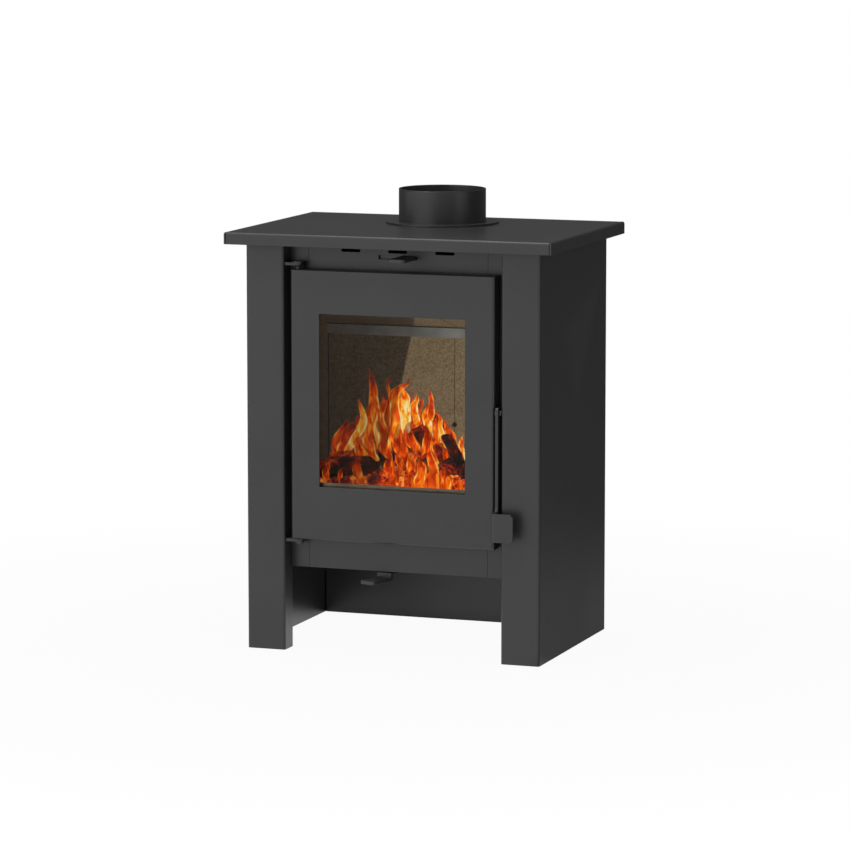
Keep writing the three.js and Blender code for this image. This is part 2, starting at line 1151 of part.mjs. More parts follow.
const floorBoltSeat = discLow - seatGap;
piece(
  "floor_air_bolt",
  join(
    rod(
      floorBoltRadius * 1.8,
      "z",
      floorBoltSeat - floorBoltHead,
      floorBoltSeat,
      0,
      floorPivotSetback,
      6,
    ),
    floorBoltHole(floorBoltRadius, floorBoltSeat - 1, floorTop - seatGap),
  ),
  steel,
);

// ---- Door ---------------------------------------------------------------------------------

const hingeX = -halfClear + hingeInset;
const door = hinged(stove, hingeX, hingeSetback, doorBottom);

// A pressed tray: a face with rounded edges and walls that run back.
function tray(half, low, high, depth, sheet, bend) {
  const pressed = (inset) => {
    const radius = Math.max(bend - inset, 0.5);
    const outline = rectangle(
      -half + inset + radius,
      half - inset - radius,
      low + inset + radius,
      high - inset - radius,
    );
    return new THREE.ExtrudeGeometry(outline, {
      depth: depth + 20,
      bevelEnabled: true,
      bevelThickness: radius,
      bevelSize: radius,
      bevelSegments: 3,
      curveSegments: 1,
    })
      .translate(0, 0, -depth - 20 - radius - inset)
      .applyMatrix4(planes.xz);
  };
  const behind = block(
    -half - 1,
    half + 1,
    depth,
    depth + 60,
    low - 1,
    high + 1,
  );
  return cut(pressed(0), pressed(sheet), behind);
}

const halfWindow = halfDoor - frameSide;
const hingePin = (radius, low, high) =>
  rod(radius, "z", low, high, hingeX, hingeSetback);
const leverPivotHole = (radius, from, to) =>
  rod(radius, "x", from, to, leverPivotSetback, pivotLevel);
piece(
  "door_panel",
  cut(
    tray(halfDoor, doorBottom, doorTop, doorDepth, doorSheet, doorBend),
    extrude(
      rectangle(-halfWindow, halfWindow, windowBottom, windowTop),
      "xz",
      -1,
      doorSheet + 1,
    ),
    hingePin(pinRadius + seatGap, doorBottom - 1, doorBottom + doorSheet + 1),
    hingePin(pinRadius + seatGap, doorTop - doorSheet - 1, doorTop + 1),
    leverPivotHole(
      leverBoltRadius + seatGap,
      halfDoor - doorSheet - 1,
      halfDoor + 1,
    ),
  ),
  paint,
  door,
);

// A frame between two rectangles, drawn out from front to back.
const ring = (outer, inner, front, back) => {
  const shape = rectangle(-outer.half, outer.half, outer.low, outer.high);
  shape.holes.push(
    rectangle(-inner.half, inner.half, inner.low, inner.high),
  );
  return extrude(shape, "xz", front, back);
};
const grown = (frame, by) => ({
  half: frame.half + by,
  low: frame.low - by,
  high: frame.high + by,
});

const channelInner = {
  half: halfMouth - ropeInset,
  low: mouthBottom + ropeInset,
  high: mouthTop - ropeInset,
};
const grooveWidth = ropeWidth + 2 * seatGap;
const channelOuter = grown(channelInner, grooveWidth + 2 * channelSheet);
const grooveInner = grown(channelInner, channelSheet);
const grooveOuter = grown(channelInner, channelSheet + grooveWidth);
const channelFront = doorSheet + seatGap;
const webFront = doorDepth - ropeStand - channelSheet;
piece(
  "door_channel",
  cut(
    ring(channelOuter, channelInner, channelFront, doorDepth),
    ring(grooveOuter, grooveInner, channelFront - 1, webFront),
    ring(grooveOuter, grooveInner, webFront + channelSheet, doorDepth + 1),
  ),
  paint,
  door,
);
const ropeInner = grown(grooveInner, seatGap);
const ropeOuter = grown(ropeInner, ropeWidth);
const ropeFront = webFront + channelSheet + seatGap;
const ropeBack = facingSetback - seatGap;
const ropeRound = (ropeBack - ropeFront) / 4;
piece(
  "rope_seal",
  join(
    ring(
      ropeOuter,
      ropeInner,
      ropeFront + ropeRound,
      ropeBack - ropeRound,
    ),
    ring(
      grown(ropeOuter, -ropeRound),
      grown(ropeInner, ropeRound),
      ropeFront,
      ropeBack,
    ),
  ),
  rope,
  door,
);

const halfGlass = halfWindow + glassOverlap;
const glassFrame = {
  half: halfGlass,
  low: windowBottom - glassOverlap,
  high: windowTop + glassOverlap,
};
const gasketFront = doorSheet + seatGap;
const glassFront = gasketFront + gasketThickness + seatGap;
const glassBack = glassFront + glassThickness;
piece(
  "glass_gasket",
  ring(
    glassFrame,
    grown(glassFrame, 2 - glassOverlap),
    gasketFront,
    gasketFront + gasketThickness,
  ),
  rope,
  door,
);
piece(
  "glass_pane",
  block(
    -halfGlass,
    halfGlass,
    glassFront,
    glassBack,
    glassFrame.low,
    glassFrame.high,
  ),
  glass,
  door,
);

// Four flat bars hold the glass. They are fixed to the channel's inner wall, and the lower
// one stands above the window's edge as a sill.
const barFront = glassBack + seatGap;
const barBack = barFront + retainerPlate;
const barEnd = channelInner.half - seatGap;
const sillTop = windowBottom + sillHeight;
const sideBarHigh = glassFrame.high - 2 * retainerGrip;
piece(
  "glass_retainer_bottom",
  block(
    -barEnd,
    barEnd,
    barFront,
    barBack,
    glassFrame.low - retainerGrip,
    sillTop,
  ),
  steel,
  door,
);
piece(
  "glass_retainer_top",
  block(
    -barEnd,
    barEnd,
    barFront,
    barBack,
    sideBarHigh + seatGap,
    glassFrame.high + retainerGrip,
  ),
  steel,
  door,
);
for (const side of [-1, 1]) {
  const near = side * (halfGlass - retainerGrip);
  const far = side * barEnd;
  piece(
    side < 0 ? "glass_retainer_left" : "glass_retainer_right",
    block(
      Math.min(near, far),
      Math.max(near, far),
      barFront,
      barBack,
      sillTop + seatGap,
      sideBarHigh,
    ),
    steel,
    door,
  );
}

// ---- Hinges -------------------------------------------------------------------------------

// A bowl-shaped boss on a flat bracket at each end of the door, and a pin that a block in
// the door's corner holds.
const bossLevel = {
  top: doorTop + topBossGap,
  bottom: doorBottom - bottomBossGap - bossHeight,
};
const bossProfile = [[0, 0], [bossFoot, 0]];
for (let k = 1; k <= 2 * arcSteps; k++) {
  const angle = (Math.PI / 2) * (k / (2 * arcSteps));
  bossProfile.push([
    bossFoot + (bossRadius - bossFoot) * Math.sin(angle),
    0.8 * bossHeight * (1 - Math.cos(angle)),
  ]);
}
bossProfile.push([bossRadius, bossHeight], [0, bossHeight]);
for (const end of ["top", "bottom"]) {
  const low = bossLevel[end];
  const plateLow =
    end === "top"
      ? low + 0.6 * (bossHeight - hingePlate)
      : low + bossHeight - hingePlate;
  piece(
    "hinge_bracket_" + end,
    cut(
      join(
        turned(bossProfile, hingeX, hingeSetback, low, pinSides),
        block(
          -halfClear + seatGap,
          hingeX,
          hingeSetback - hingePlateWidth / 2,
          hingeSetback + hingePlateWidth / 2,
          plateLow,
          plateLow + hingePlate,
        ),
      ),
      hingePin(pinRadius + pinClearance, low - 1, low + bossHeight + 1),
    ),
    paint,
  );
}

const blockLeft = -halfDoor + doorSheet + seatGap;
const blockRight = -channelOuter.half - seatGap;
const blockFront = doorSheet + 2 * seatGap;
const pinSpan = {
  top: [doorTop - doorSheet - hingeBlock, bossLevel.top + bossHeight - 0.5],
  bottom: [bossLevel.bottom + 0.5, doorBottom + doorSheet + hingeBlock],
};
const blockSpan = {
  top: [
    doorTop - doorSheet - seatGap - hingeBlock,
    doorTop - doorSheet - seatGap,
  ],
  bottom: [
    doorBottom + doorSheet + seatGap,
    doorBottom + doorSheet + seatGap + hingeBlock,
  ],
};
for (const end of ["top", "bottom"]) {
  const [low, high] = blockSpan[end];
  piece(
    "hinge_block_" + end,
    cut(
      block(blockLeft, blockRight, blockFront, doorDepth - doorSheet, low, high),
      hingePin(pinRadius + seatGap, low - 1, high + 1),
    ),
    paint,
    door,
  );
  piece(
    "hinge_pin_" + end,
    hingePin(pinRadius, pinSpan[end][0], pinSpan[end][1]),
    steel,
    door,
  );
}

// ---- Door lever ---------------------------------------------------------------------------

// A flat bar beside the door's edge turns about a bolt at half height. Below, it comes
// forward and is bent to the right as the tab that the hand pulls. A hook behind the pivot
// lies under the catch pin.
const lever = hinged(door, halfDoor, leverPivotSetback, pivotLevel);
const leverLeft = halfDoor + leverGap;
const leverRight = leverLeft + leverPlate;
const barFace = -leverProud;
const barRear = barFace + leverBarDepth;
const tabLow = pivotLevel - leverDrop;
const tabHigh = tabLow + tabHeight;
const hookTop = pivotLevel - catchDrop - catchRadius - catchClearance;
const hookRear = catchSetback + catchRadius + leverPlate / 2;
const bendStart = -tabReach + leverBend + 1;
const barOutline = new THREE.Shape([
  at(barFace, pivotLevel + leverHead - 2),
  at(barFace, tabHigh + leverBend),
  at(barFace - leverBend * 0.3, tabHigh + leverBend * 0.3),
  at(barFace - leverBend, tabHigh),
  at(bendStart, tabHigh),
  at(bendStart, tabLow),
  at(barRear - leverBend, tabLow),
  at(barRear, tabLow + leverBend),
  at(barRear, hookTop - 2 * leverPlate),
  at(hookRear, hookTop - leverPlate - 1.5),
  at(hookRear, hookTop),
  at(hookRear - 2, hookTop),
  at(hookRear - 4, hookTop - 2.5),
  at(barRear + 0.5, hookTop - 2.5),
  at(barRear, hookTop),
  at(barRear, pivotLevel + leverHead - 4),
  at(barRear - 4, pivotLevel + leverHead),
  at(barFace + 2, pivotLevel + leverHead),
]);
const tabSection = folded(
  [
    at((leverLeft + leverRight) / 2, barRear - leverBend),
    at((leverLeft + leverRight) / 2, -tabReach + leverPlate / 2),
    at(leverLeft + tabWidth, -tabReach + leverPlate / 2),
  ],
  leverPlate,
  leverBend,
);
const tabOutline = extrude(
  rectangle(
    leverLeft - tabWidth,
    leverLeft + tabWidth,
    tabLow,
    tabHigh,
    tabCorner,
  ),
  "xz",
  -tabReach - 1,
  barRear,
);
piece(
  "door_lever",
  cut(
    join(
      extrude(barOutline, "yz", leverLeft, leverRight),
      common(extrude(tabSection, "xy", tabLow, tabHigh), tabOutline),
    ),
    leverPivotHole(
      leverBoltRadius + pinClearance,
      leverLeft - 1,
      leverRight + 1,
    ),
  ),
  paint,
  lever,
);

// The bolt, a washer and a nut stay with the door; the catch pin stays with the leg.
const nutRight = halfDoor - doorSheet - seatGap;
piece(
  "lever_bolt",
  join(
    leverPivotHole(
      leverHeadRadius,
      leverRight + seatGap,
      leverRight + seatGap + leverBoltHead,
    ),
    leverPivotHole(
      leverBoltRadius,
      nutRight - leverNut - 1,
      leverRight + seatGap + 1,
    ),
  ),
  steel,
  door,
);
piece(
  "lever_washer",
  cut(
    leverPivotHole(leverWasherRadius, halfDoor + seatGap, leverLeft - seatGap),
    leverPivotHole(leverBoltRadius + seatGap, halfDoor, leverLeft),
  ),
  steel,
  door,
);
piece(
  "lever_nut",
  cut(
    rod(
      leverHeadRadius,
      "x",
      nutRight - leverNut,
      nutRight,
      leverPivotSetback,
      pivotLevel,
      6,
    ),
    leverPivotHole(leverBoltRadius + seatGap, halfDoor / 2, halfDoor),
  ),
  steel,
  door,
);
piece(
  "catch_pin",
  rod(
    catchRadius,
    "x",
    halfClear - seatGap - catchLength,
    halfClear - seatGap,
    catchSetback,
    pivotLevel - catchDrop,
  ),
  steel,
);

export default root;
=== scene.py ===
import json
import math
import random

import bmesh
import bpy
from mathutils import Matrix, Vector, noise


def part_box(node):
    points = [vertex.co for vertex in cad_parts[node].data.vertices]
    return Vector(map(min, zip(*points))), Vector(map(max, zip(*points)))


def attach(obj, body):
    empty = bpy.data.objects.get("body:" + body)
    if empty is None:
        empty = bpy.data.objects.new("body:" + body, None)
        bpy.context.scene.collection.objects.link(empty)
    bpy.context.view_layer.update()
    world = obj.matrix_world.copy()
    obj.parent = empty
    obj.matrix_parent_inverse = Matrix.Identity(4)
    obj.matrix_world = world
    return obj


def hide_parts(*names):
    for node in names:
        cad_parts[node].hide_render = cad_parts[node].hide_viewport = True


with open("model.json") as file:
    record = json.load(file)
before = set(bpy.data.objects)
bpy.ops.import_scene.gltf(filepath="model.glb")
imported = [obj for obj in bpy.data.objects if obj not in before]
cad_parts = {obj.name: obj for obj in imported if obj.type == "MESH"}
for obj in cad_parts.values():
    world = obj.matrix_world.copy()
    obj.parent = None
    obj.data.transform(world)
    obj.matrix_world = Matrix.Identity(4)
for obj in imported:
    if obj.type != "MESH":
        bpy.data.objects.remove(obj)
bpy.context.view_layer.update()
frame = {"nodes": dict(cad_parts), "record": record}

nodes = frame["nodes"]
scene = bpy.context.scene
print("frame loaded:", len(nodes), "nodes")


# Lengths are in metres, in the stove's own frame: x to the right, y from the door to the back, z up.
# Only the places and sizes of the flames, logs and embers are in millimetres.

def linear(hexColour):
    parts = [int(hexColour[i:i + 2], 16) / 255 for i in (1, 3, 5)]
    return tuple(c / 12.92 if c <= 0.04045 else ((c + 0.055) / 1.055) ** 2.4 for c in parts) + (1.0,)


# A socket is given a value or a link. A node given for it is linked by its first output.
def setInputs(tree, node, inputs):
    for socket, value in inputs.items():
        if isinstance(value, bpy.types.Node):
            value = value.outputs[0]
        if isinstance(value, bpy.types.NodeSocket):
            tree.links.new(value, node.inputs[socket])
        else:
            node.inputs[socket].default_value = value


def addNode(tree, kind, inputs=None, **settings):
    node = tree.nodes.new("ShaderNode" + kind)
    for name, value in settings.items():
        setattr(node, name, value)
    setInputs(tree, node, inputs or {})
    return node


eased = {"interpolation_type": "SMOOTHSTEP"}  # a Map Range that starts and ends softly


def startMaterial(name):
    material = bpy.data.materials.new(name)
    material.use_nodes = True
    tree = material.node_tree
    return material, tree, tree.nodes["Principled BSDF"], addNode(tree, "TexCoord").outputs["Object"]


def fillRamp(node, stops):
    ramp = node.color_ramp
    while len(ramp.elements) > 1:
        ramp.elements.remove(ramp.elements[-1])
    for i, (place, colour) in enumerate(stops):
        stop = ramp.elements[0] if i == 0 else ramp.elements.new(place)
        stop.position = place
        stop.color = linear(colour)
    return node


# Heat-proof silicone paint, sprayed matt on folded sheet steel: nearly black grey, with a soft
# sheen at low angles, a faint cloudiness from the spray and a dry, finely pimpled skin.
paintLook = {
    "thin": "#2d2d2d",
    "full": "#343434",
    "roughness": 0.35,
    "uneven": 0.03,  # how far the roughness strays in the cloudy patches
    "cloud": 0.16,  # size of the cloudy patches
    "grain": 0.0024,  # the real pimples are 0.3 mm, drawn coarser so that they show
    "pimple": 0.0004,  # their height
    "bump": 0.05,
    "edge": 0.0008,  # the paint runs round the sheet's edges
}


def makeStovePaint(name, look):
    material, tree, skin, place = startMaterial(name)
    cloud = addNode(tree, "TexNoise",
                    {"Vector": place, "Scale": 1 / look["cloud"], "Detail": 3.0, "Roughness": 0.55})
    grain = addNode(tree, "TexNoise",
                    {"Vector": place, "Scale": 1 / look["grain"], "Detail": 2.0, "Roughness": 0.6})
    both = addNode(tree, "Mix", {0: 0.35, 2: cloud, 3: grain})
    colour = fillRamp(addNode(tree, "ValToRGB", {"Fac": both}), [(0.35, look["thin"]), (0.65, look["full"])])
    sheen = addNode(tree, "MapRange", {"Value": cloud, "From Min": 0.3, "From Max": 0.7,
                                       "To Min": look["roughness"] - look["uneven"],
                                       "To Max": look["roughness"] + look["uneven"]})
    soft = addNode(tree, "Bevel", {"Radius": look["edge"]}, samples=4)
    bump = addNode(tree, "Bump",
                   {"Height": grain, "Normal": soft, "Strength": look["bump"], "Distance": look["pimple"]})
    setInputs(tree, skin, {"Base Color": colour, "Roughness": sheen, "Normal": bump,
                           "Specular IOR Level": 0.5})
    return material


# Mild steel, zinc plated and then dulled by the heat: grey with a warm straw tint in patches. The
# baffle's rail is hot-dip galvanised and paler, and the lining's screw is burnt. The catch pin gets
# the same dark steel as painted shade, for the shaded gap between the door and the leg.
steelLook = {
    "bright": "#7a7876",
    "tint": "#69645f",
    "roughness": 0.42,
    "patch": 0.03,
    "scratch": 0.0008,  # drawn lines from the rolling, 0.2 mm in the real strip
    "depth": 0.0003,
}
railLook = dict(steelLook, bright="#c6d8ec", tint="#b4c6da", roughness=0.55)
burntAndShadeLook = dict(steelLook, bright="#4a4846", tint="#3d3936", roughness=0.5)


def makeDulledSteel(name, look):
    material, tree, skin, place = startMaterial(name)
    patch = addNode(tree, "TexNoise", {"Vector": place, "Scale": 1 / look["patch"], "Detail": 4.0})
    along = addNode(tree, "Mapping", {"Vector": place, "Scale": (0.06, 1.0, 1.0)})
    scratch = addNode(tree, "TexNoise", {"Vector": along, "Scale": 1 / look["scratch"], "Detail": 2.0})
    colour = fillRamp(addNode(tree, "ValToRGB", {"Fac": patch}),
                      [(0.35, look["tint"]), (0.62, look["bright"])])
    rough = addNode(tree, "MapRange", {"Value": scratch, "From Min": 0.3, "From Max": 0.7,
                                       "To Min": look["roughness"] - 0.08, "To Max": look["roughness"] + 0.1})
    bump = addNode(tree, "Bump", {"Height": scratch, "Strength": 0.08, "Distance": look["depth"]})
    setInputs(tree, skin, {"Base Color": colour, "Roughness": rough, "Normal": bump, "Metallic": 1.0})
    return material


# Pressed vermiculite board: golden mica flakes in a buff binder, matt, with a sandy surface.
boardLook = {
    "binder": "#8b7b62",
    "flake": "#a3937a",
    "dark": "#6f624f",
    "flakeSize": 0.0021,  # mica flakes of 1 to 3 mm
    "sand": 0.0016,
    "sandHeight": 0.0006,
    "patch": 0.05,
    "roughness": 0.92,
}


def makeVermiculite(name, look):
    material, tree, skin, place = startMaterial(name)
    flakes = addNode(tree, "TexVoronoi", {"Vector": place, "Scale": 1 / look["flakeSize"], "Randomness": 1.0})
    sand = addNode(tree, "TexNoise",
                   {"Vector": place, "Scale": 1 / look["sand"], "Detail": 3.0, "Roughness": 0.7})
    patch = addNode(tree, "TexNoise", {"Vector": place, "Scale": 1 / look["patch"], "Detail": 2.0})
    flakeGrey = addNode(tree, "SeparateColor", {"Color": flakes.outputs["Color"]})
    mixed = addNode(tree, "Mix", {0: 0.55, 2: flakeGrey, 3: sand})
    shifted = addNode(tree, "Mix", {0: 0.15, 2: mixed, 3: patch})
    colour = fillRamp(addNode(tree, "ValToRGB", {"Fac": shifted}),
                      [(0.25, look["dark"]), (0.48, look["binder"]), (0.75, look["flake"])])
    bump = addNode(tree, "Bump", {"Height": sand, "Strength": 0.2, "Distance": look["sandHeight"]})
    setInputs(tree, skin, {"Base Color": colour, "Normal": bump, "Roughness": look["roughness"],
                           "Specular IOR Level": 0.2})
    return material


# Grey cast iron as it leaves the sand: rough, blackened and faintly rusty in patches.
ironLook = {"black": "#23211f", "rust": "#3a2c24", "roughness": 0.78, "patch": 0.03, "sand": 0.003,
            "pit": 0.001}


def makeCastIron(name, look):
    material, tree, skin, place = startMaterial(name)
    sand = addNode(tree, "TexNoise",
                   {"Vector": place, "Scale": 1 / look["sand"], "Detail": 4.0, "Roughness": 0.65})
    patch = addNode(tree, "TexNoise", {"Vector": place, "Scale": 1 / look["patch"], "Detail": 3.0})
    colour = fillRamp(addNode(tree, "ValToRGB", {"Fac": patch}), [(0.45, look["black"]), (0.7, look["rust"])])
    bump = addNode(tree, "Bump", {"Height": sand, "Strength": 0.5, "Distance": look["pit"]})
    setInputs(tree, skin, {"Base Color": colour, "Normal": bump, "Roughness": look["roughness"],
                           "Metallic": 0.3})
    return material


# Ceramic glass, 4 mm, faintly warm: clear, with a weak reflection on its faces. It lets the lamps
# through, as clear glass does, and holds back a little of what is seen through it.
glassLook = {
    "tint": "#f6f2ea",
    "roughness": 0.015,
    "ior": 1.14,  # the real glass has 1.54 and a stronger reflection
}


def makeCeramicGlass(name, look):
    material, tree, skin, place = startMaterial(name)
    for unused in (skin, place.node):
        tree.nodes.remove(unused)
    through = addNode(tree, "BsdfTransparent", {"Color": linear(look["tint"])})
    shine = addNode(tree, "BsdfGlossy", {"Color": (1, 1, 1, 1), "Roughness": look["roughness"]})
    edge = addNode(tree, "Fresnel", {"IOR": look["ior"]})
    surface = addNode(tree, "MixShader", {0: edge, 1: through, 2: shine})
    lamps = addNode(tree, "LightPath").outputs["Is Shadow Ray"]
    result = addNode(tree, "MixShader", {0: lamps, 1: surface, 2: through})
    setInputs(tree, tree.nodes["Material Output"], {"Surface": result})
    return material


# Glass-fibre rope, graphite dyed, braided from sixteen strands of fine yarn: matt dark grey with
# paler ridges where the strands cross.
ropeLook = {"ridge": "#5a5753", "hollow": "#2b2927", "yarn": 0.0011, "depth": 0.0006, "roughness": 0.95}


def makeBraidedGlassFibre(name, look):
    material, tree, skin, place = startMaterial(name)
    braid = addNode(tree, "SeparateXYZ", {"Vector": addNode(tree, "UVMap", uv_map="braid")})
    strands = []
    for lay in ("ADD", "SUBTRACT"):  # half of the strands wind each way
        slant = addNode(tree, "Math", {0: braid.outputs["X"], 1: braid.outputs["Y"]}, operation=lay)
        angle = addNode(tree, "Math", {0: slant, 1: 2 * math.pi}, operation="MULTIPLY")
        strands.append(addNode(tree, "Math", {0: angle}, operation="COSINE"))
    crossing = addNode(tree, "Math", {0: strands[0], 1: strands[1]}, operation="MAXIMUM")
    yarn = addNode(tree, "TexNoise", {"Vector": place, "Scale": 1 / look["yarn"], "Detail": 2.0})
    height = addNode(tree, "Mix", {0: 0.3, 2: crossing, 3: yarn})
    colour = fillRamp(addNode(tree, "ValToRGB", {"Fac": height}),
                      [(0.05, look["hollow"]), (0.7, look["ridge"])])
    bump = addNode(tree, "Bump", {"Height": height, "Strength": 0.6, "Distance": look["depth"]})
    setInputs(tree, skin, {"Base Color": colour, "Normal": bump, "Roughness": look["roughness"],
                           "Specular IOR Level": 0.2})
    return material


# The window has a lighter part with a slanting edge: a plane, given by a point on it and the way
# across it. The beam on the lining ends there, and left of it what glows is dimmer, as painted shade.
bandLook = {
    "through": Vector((-0.039, -0.026, 0.442)),
    "across": Vector((1.0, 0.324, -0.216)),
    "soft": 0.0025,
    # the share of the glow kept left of the plane: painted shade
    "dim": 0.45,
}


# Painted shade: a glow's strength, turned down to "dim" of itself left of the plane.
def paintedShadeBand(tree, place, strength, look=bandLook):
    across = addNode(tree, "VectorMath", {0: place, 1: look["across"]}, operation="DOT_PRODUCT")
    edge = look["through"].dot(look["across"])
    return addNode(tree, "MapRange", {"Value": across.outputs["Value"],
                                      "From Min": edge - look["soft"], "From Max": edge + look["soft"],
                                      "To Min": strength * look["dim"], "To Max": strength}, **eased)


# Beech burnt to charcoal: black scales of char, with orange heat in the cracks between them and a
# little grey ash.
charLook = {
    "char": "#070504",
    "scale": "#140e0c",
    "ash": "#2f2824",
    "glow": [(0.0, "#000000"), (0.15, "#3a0700"), (0.4, "#a82002"), (0.7, "#f45206"), (1.0, "#ff9a1c")],
    "heat": 1.0,
    "scaleSize": 0.011,  # the char splits in blocks of 10 to 20 mm
    "finer": 3.1,  # small cracks to one of those
    "wander": 45.0,  # waves to a metre that bend the cracks
    "bend": 0.022,
    "warmPatch": 0.03,
    "grit": 0.0022,
    "spark": 0.0042,
    "depth": 0.002,
}


def makeCharcoal(name, look, hot):
    material, tree, skin, place = startMaterial(name)
    wander = addNode(tree, "TexNoise",
                     {"Vector": place, "Scale": look["wander"], "Detail": 4.0, "Roughness": 0.6})
    bent = addNode(tree, "Mix", {0: look["bend"], 4: place, 5: wander.outputs["Color"]}, data_type="VECTOR")
    cracks, fine = (addNode(tree, "TexVoronoi", {"Vector": bent.outputs[1], "Scale": n / look["scaleSize"]},
                            feature="DISTANCE_TO_EDGE")
                    for n in (1, look["finer"]))
    where = addNode(tree, "TexNoise",
                    {"Vector": place, "Scale": 1 / look["warmPatch"], "Detail": 4.0, "Roughness": 0.65})
    grit = addNode(tree, "TexNoise",
                   {"Vector": place, "Scale": 1 / look["grit"], "Detail": 3.0, "Roughness": 0.65})
    spark = addNode(tree, "TexNoise", {"Vector": place, "Scale": 1 / look["spark"], "Detail": 2.0})
    colour = fillRamp(addNode(tree, "ValToRGB", {"Fac": grit}),
                      [(0.42, look["char"]), (0.64, look["scale"]), (0.8, look["ash"])])
    wide = addNode(tree, "MapRange", {"Value": cracks, "From Max": 0.075, "To Min": 1.0, "To Max": 0.0})
    thin = addNode(tree, "MapRange", {"Value": fine, "From Max": 0.12, "To Min": 0.85, "To Max": 0.0})
    dots = addNode(tree, "MapRange", {"Value": spark, "From Min": 0.6, "From Max": 0.72})
    cleft = addNode(tree, "Math", {0: wide, 1: thin}, operation="MAXIMUM")
    heat = addNode(tree, "Math", {0: cleft, 1: dots}, operation="MAXIMUM")
    patch = addNode(tree, "MapRange",
                    {"Value": where, "From Min": 0.62 - 0.2 * hot, "From Max": 0.78 - 0.16 * hot})
    dim = addNode(tree, "MapRange", {"Value": wander, "From Min": 0.35, "From Max": 0.65,
                                     "To Min": 0.35, "To Max": 1.15})
    for share in (patch, dim):
        heat = addNode(tree, "Math", {0: heat, 1: share}, operation="MULTIPLY")
    glow = fillRamp(addNode(tree, "ValToRGB", {"Fac": heat}), look["glow"])
    height = addNode(tree, "Math", {0: grit, 1: wide}, operation="SUBTRACT")
    bump = addNode(tree, "Bump", {"Height": height, "Strength": 0.7, "Distance": look["depth"]})
    # the glow in the cracks is dimmer left of the plane, as painted shade
    setInputs(tree, skin, {"Base Color": colour, "Normal": bump, "Roughness": 0.6, "Specular IOR Level": 0.3,
                           "Emission Color": glow, "Emission Strength": paintedShadeBand(tree, place, look["heat"])})
    return material


# Wood embers: lumps that glow from deep red to yellow, under grey ash and black char.
emberLook = {
    "cold": "#140604",
    "ash": "#3a2f2a",
    "glow": [(0.50, "#0c0100"), (0.62, "#6a0f00"), (0.76, "#c92e02"), (0.9, "#fb6a0c"), (1.0, "#ffb040")],
    "heat": 1.0,
    "lump": 0.011,
    "wander": 80.0,  # waves to a metre that bend the gaps between the lumps
    "bend": 0.02,
    "warmPatch": 0.05,
    "grit": 0.0045,
    "depth": 0.002,
}


def makeEmbers(name, look):
    material, tree, skin, place = startMaterial(name)
    wander = addNode(tree, "TexNoise", {"Vector": place, "Scale": look["wander"], "Detail": 4.0})
    bent = addNode(tree, "Mix", {0: look["bend"], 4: place, 5: wander.outputs["Color"]}, data_type="VECTOR")
    lumps = addNode(tree, "TexVoronoi", {"Vector": bent.outputs[1], "Scale": 1 / look["lump"]},
                    feature="DISTANCE_TO_EDGE")
    broad = addNode(tree, "TexNoise",
                    {"Vector": place, "Scale": 1 / look["warmPatch"], "Detail": 3.0, "Roughness": 0.65})
    fine = addNode(tree, "TexNoise",
                   {"Vector": place, "Scale": 1 / look["grit"], "Detail": 4.0, "Roughness": 0.7})
    seam = addNode(tree, "MapRange", {"Value": lumps, "From Max": 0.35, "To Min": 0.8, "To Max": 0.15})
    zone = addNode(tree, "MapRange", {"Value": broad, "From Min": 0.38, "From Max": 0.62,
                                      "To Min": 0.05, "To Max": 0.75})
    deep = addNode(tree, "Math", {0: seam, 1: zone}, operation="MULTIPLY")
    heat = addNode(tree, "Math", {0: deep, 1: fine}, operation="ADD")
    glow = fillRamp(addNode(tree, "ValToRGB", {"Fac": heat}), look["glow"])
    bump = addNode(tree, "Bump", {"Height": fine, "Strength": 0.8, "Distance": look["depth"]})
    colour = fillRamp(addNode(tree, "ValToRGB", {"Fac": fine}), [(0.5, look["cold"]), (0.75, look["ash"])])
    # the embers' glow is dimmer left of the plane, as painted shade
    setInputs(tree, skin, {"Base Color": colour, "Normal": bump, "Roughness": 0.9,
                           "Emission Color": glow, "Emission Strength": paintedShadeBand(tree, place, look["heat"])})
    return material


# Flames of dry wood: thin sheets of glowing soot, orange with brighter, yellower rims where the
# sheet turns away, and red where it cools towards the tips. They light nothing themselves.
flameLook = {
    "stops": [(0.0, "#3c0400"), (0.2, "#8e1500"), (0.38, "#cf3400"), (0.55, "#f55e02"), (0.7, "#ff9c10"),
              (0.84, "#ffd056"), (1.0, "#fff2ba")],
    "strength": 1.0,
    "wander": 38.0,  # waves to a metre that bend the streaks
    "bend": 0.02,
    "streak": 130.0,  # streaks to a metre
    "stretch": (1.0, 0.6, 0.28),
}


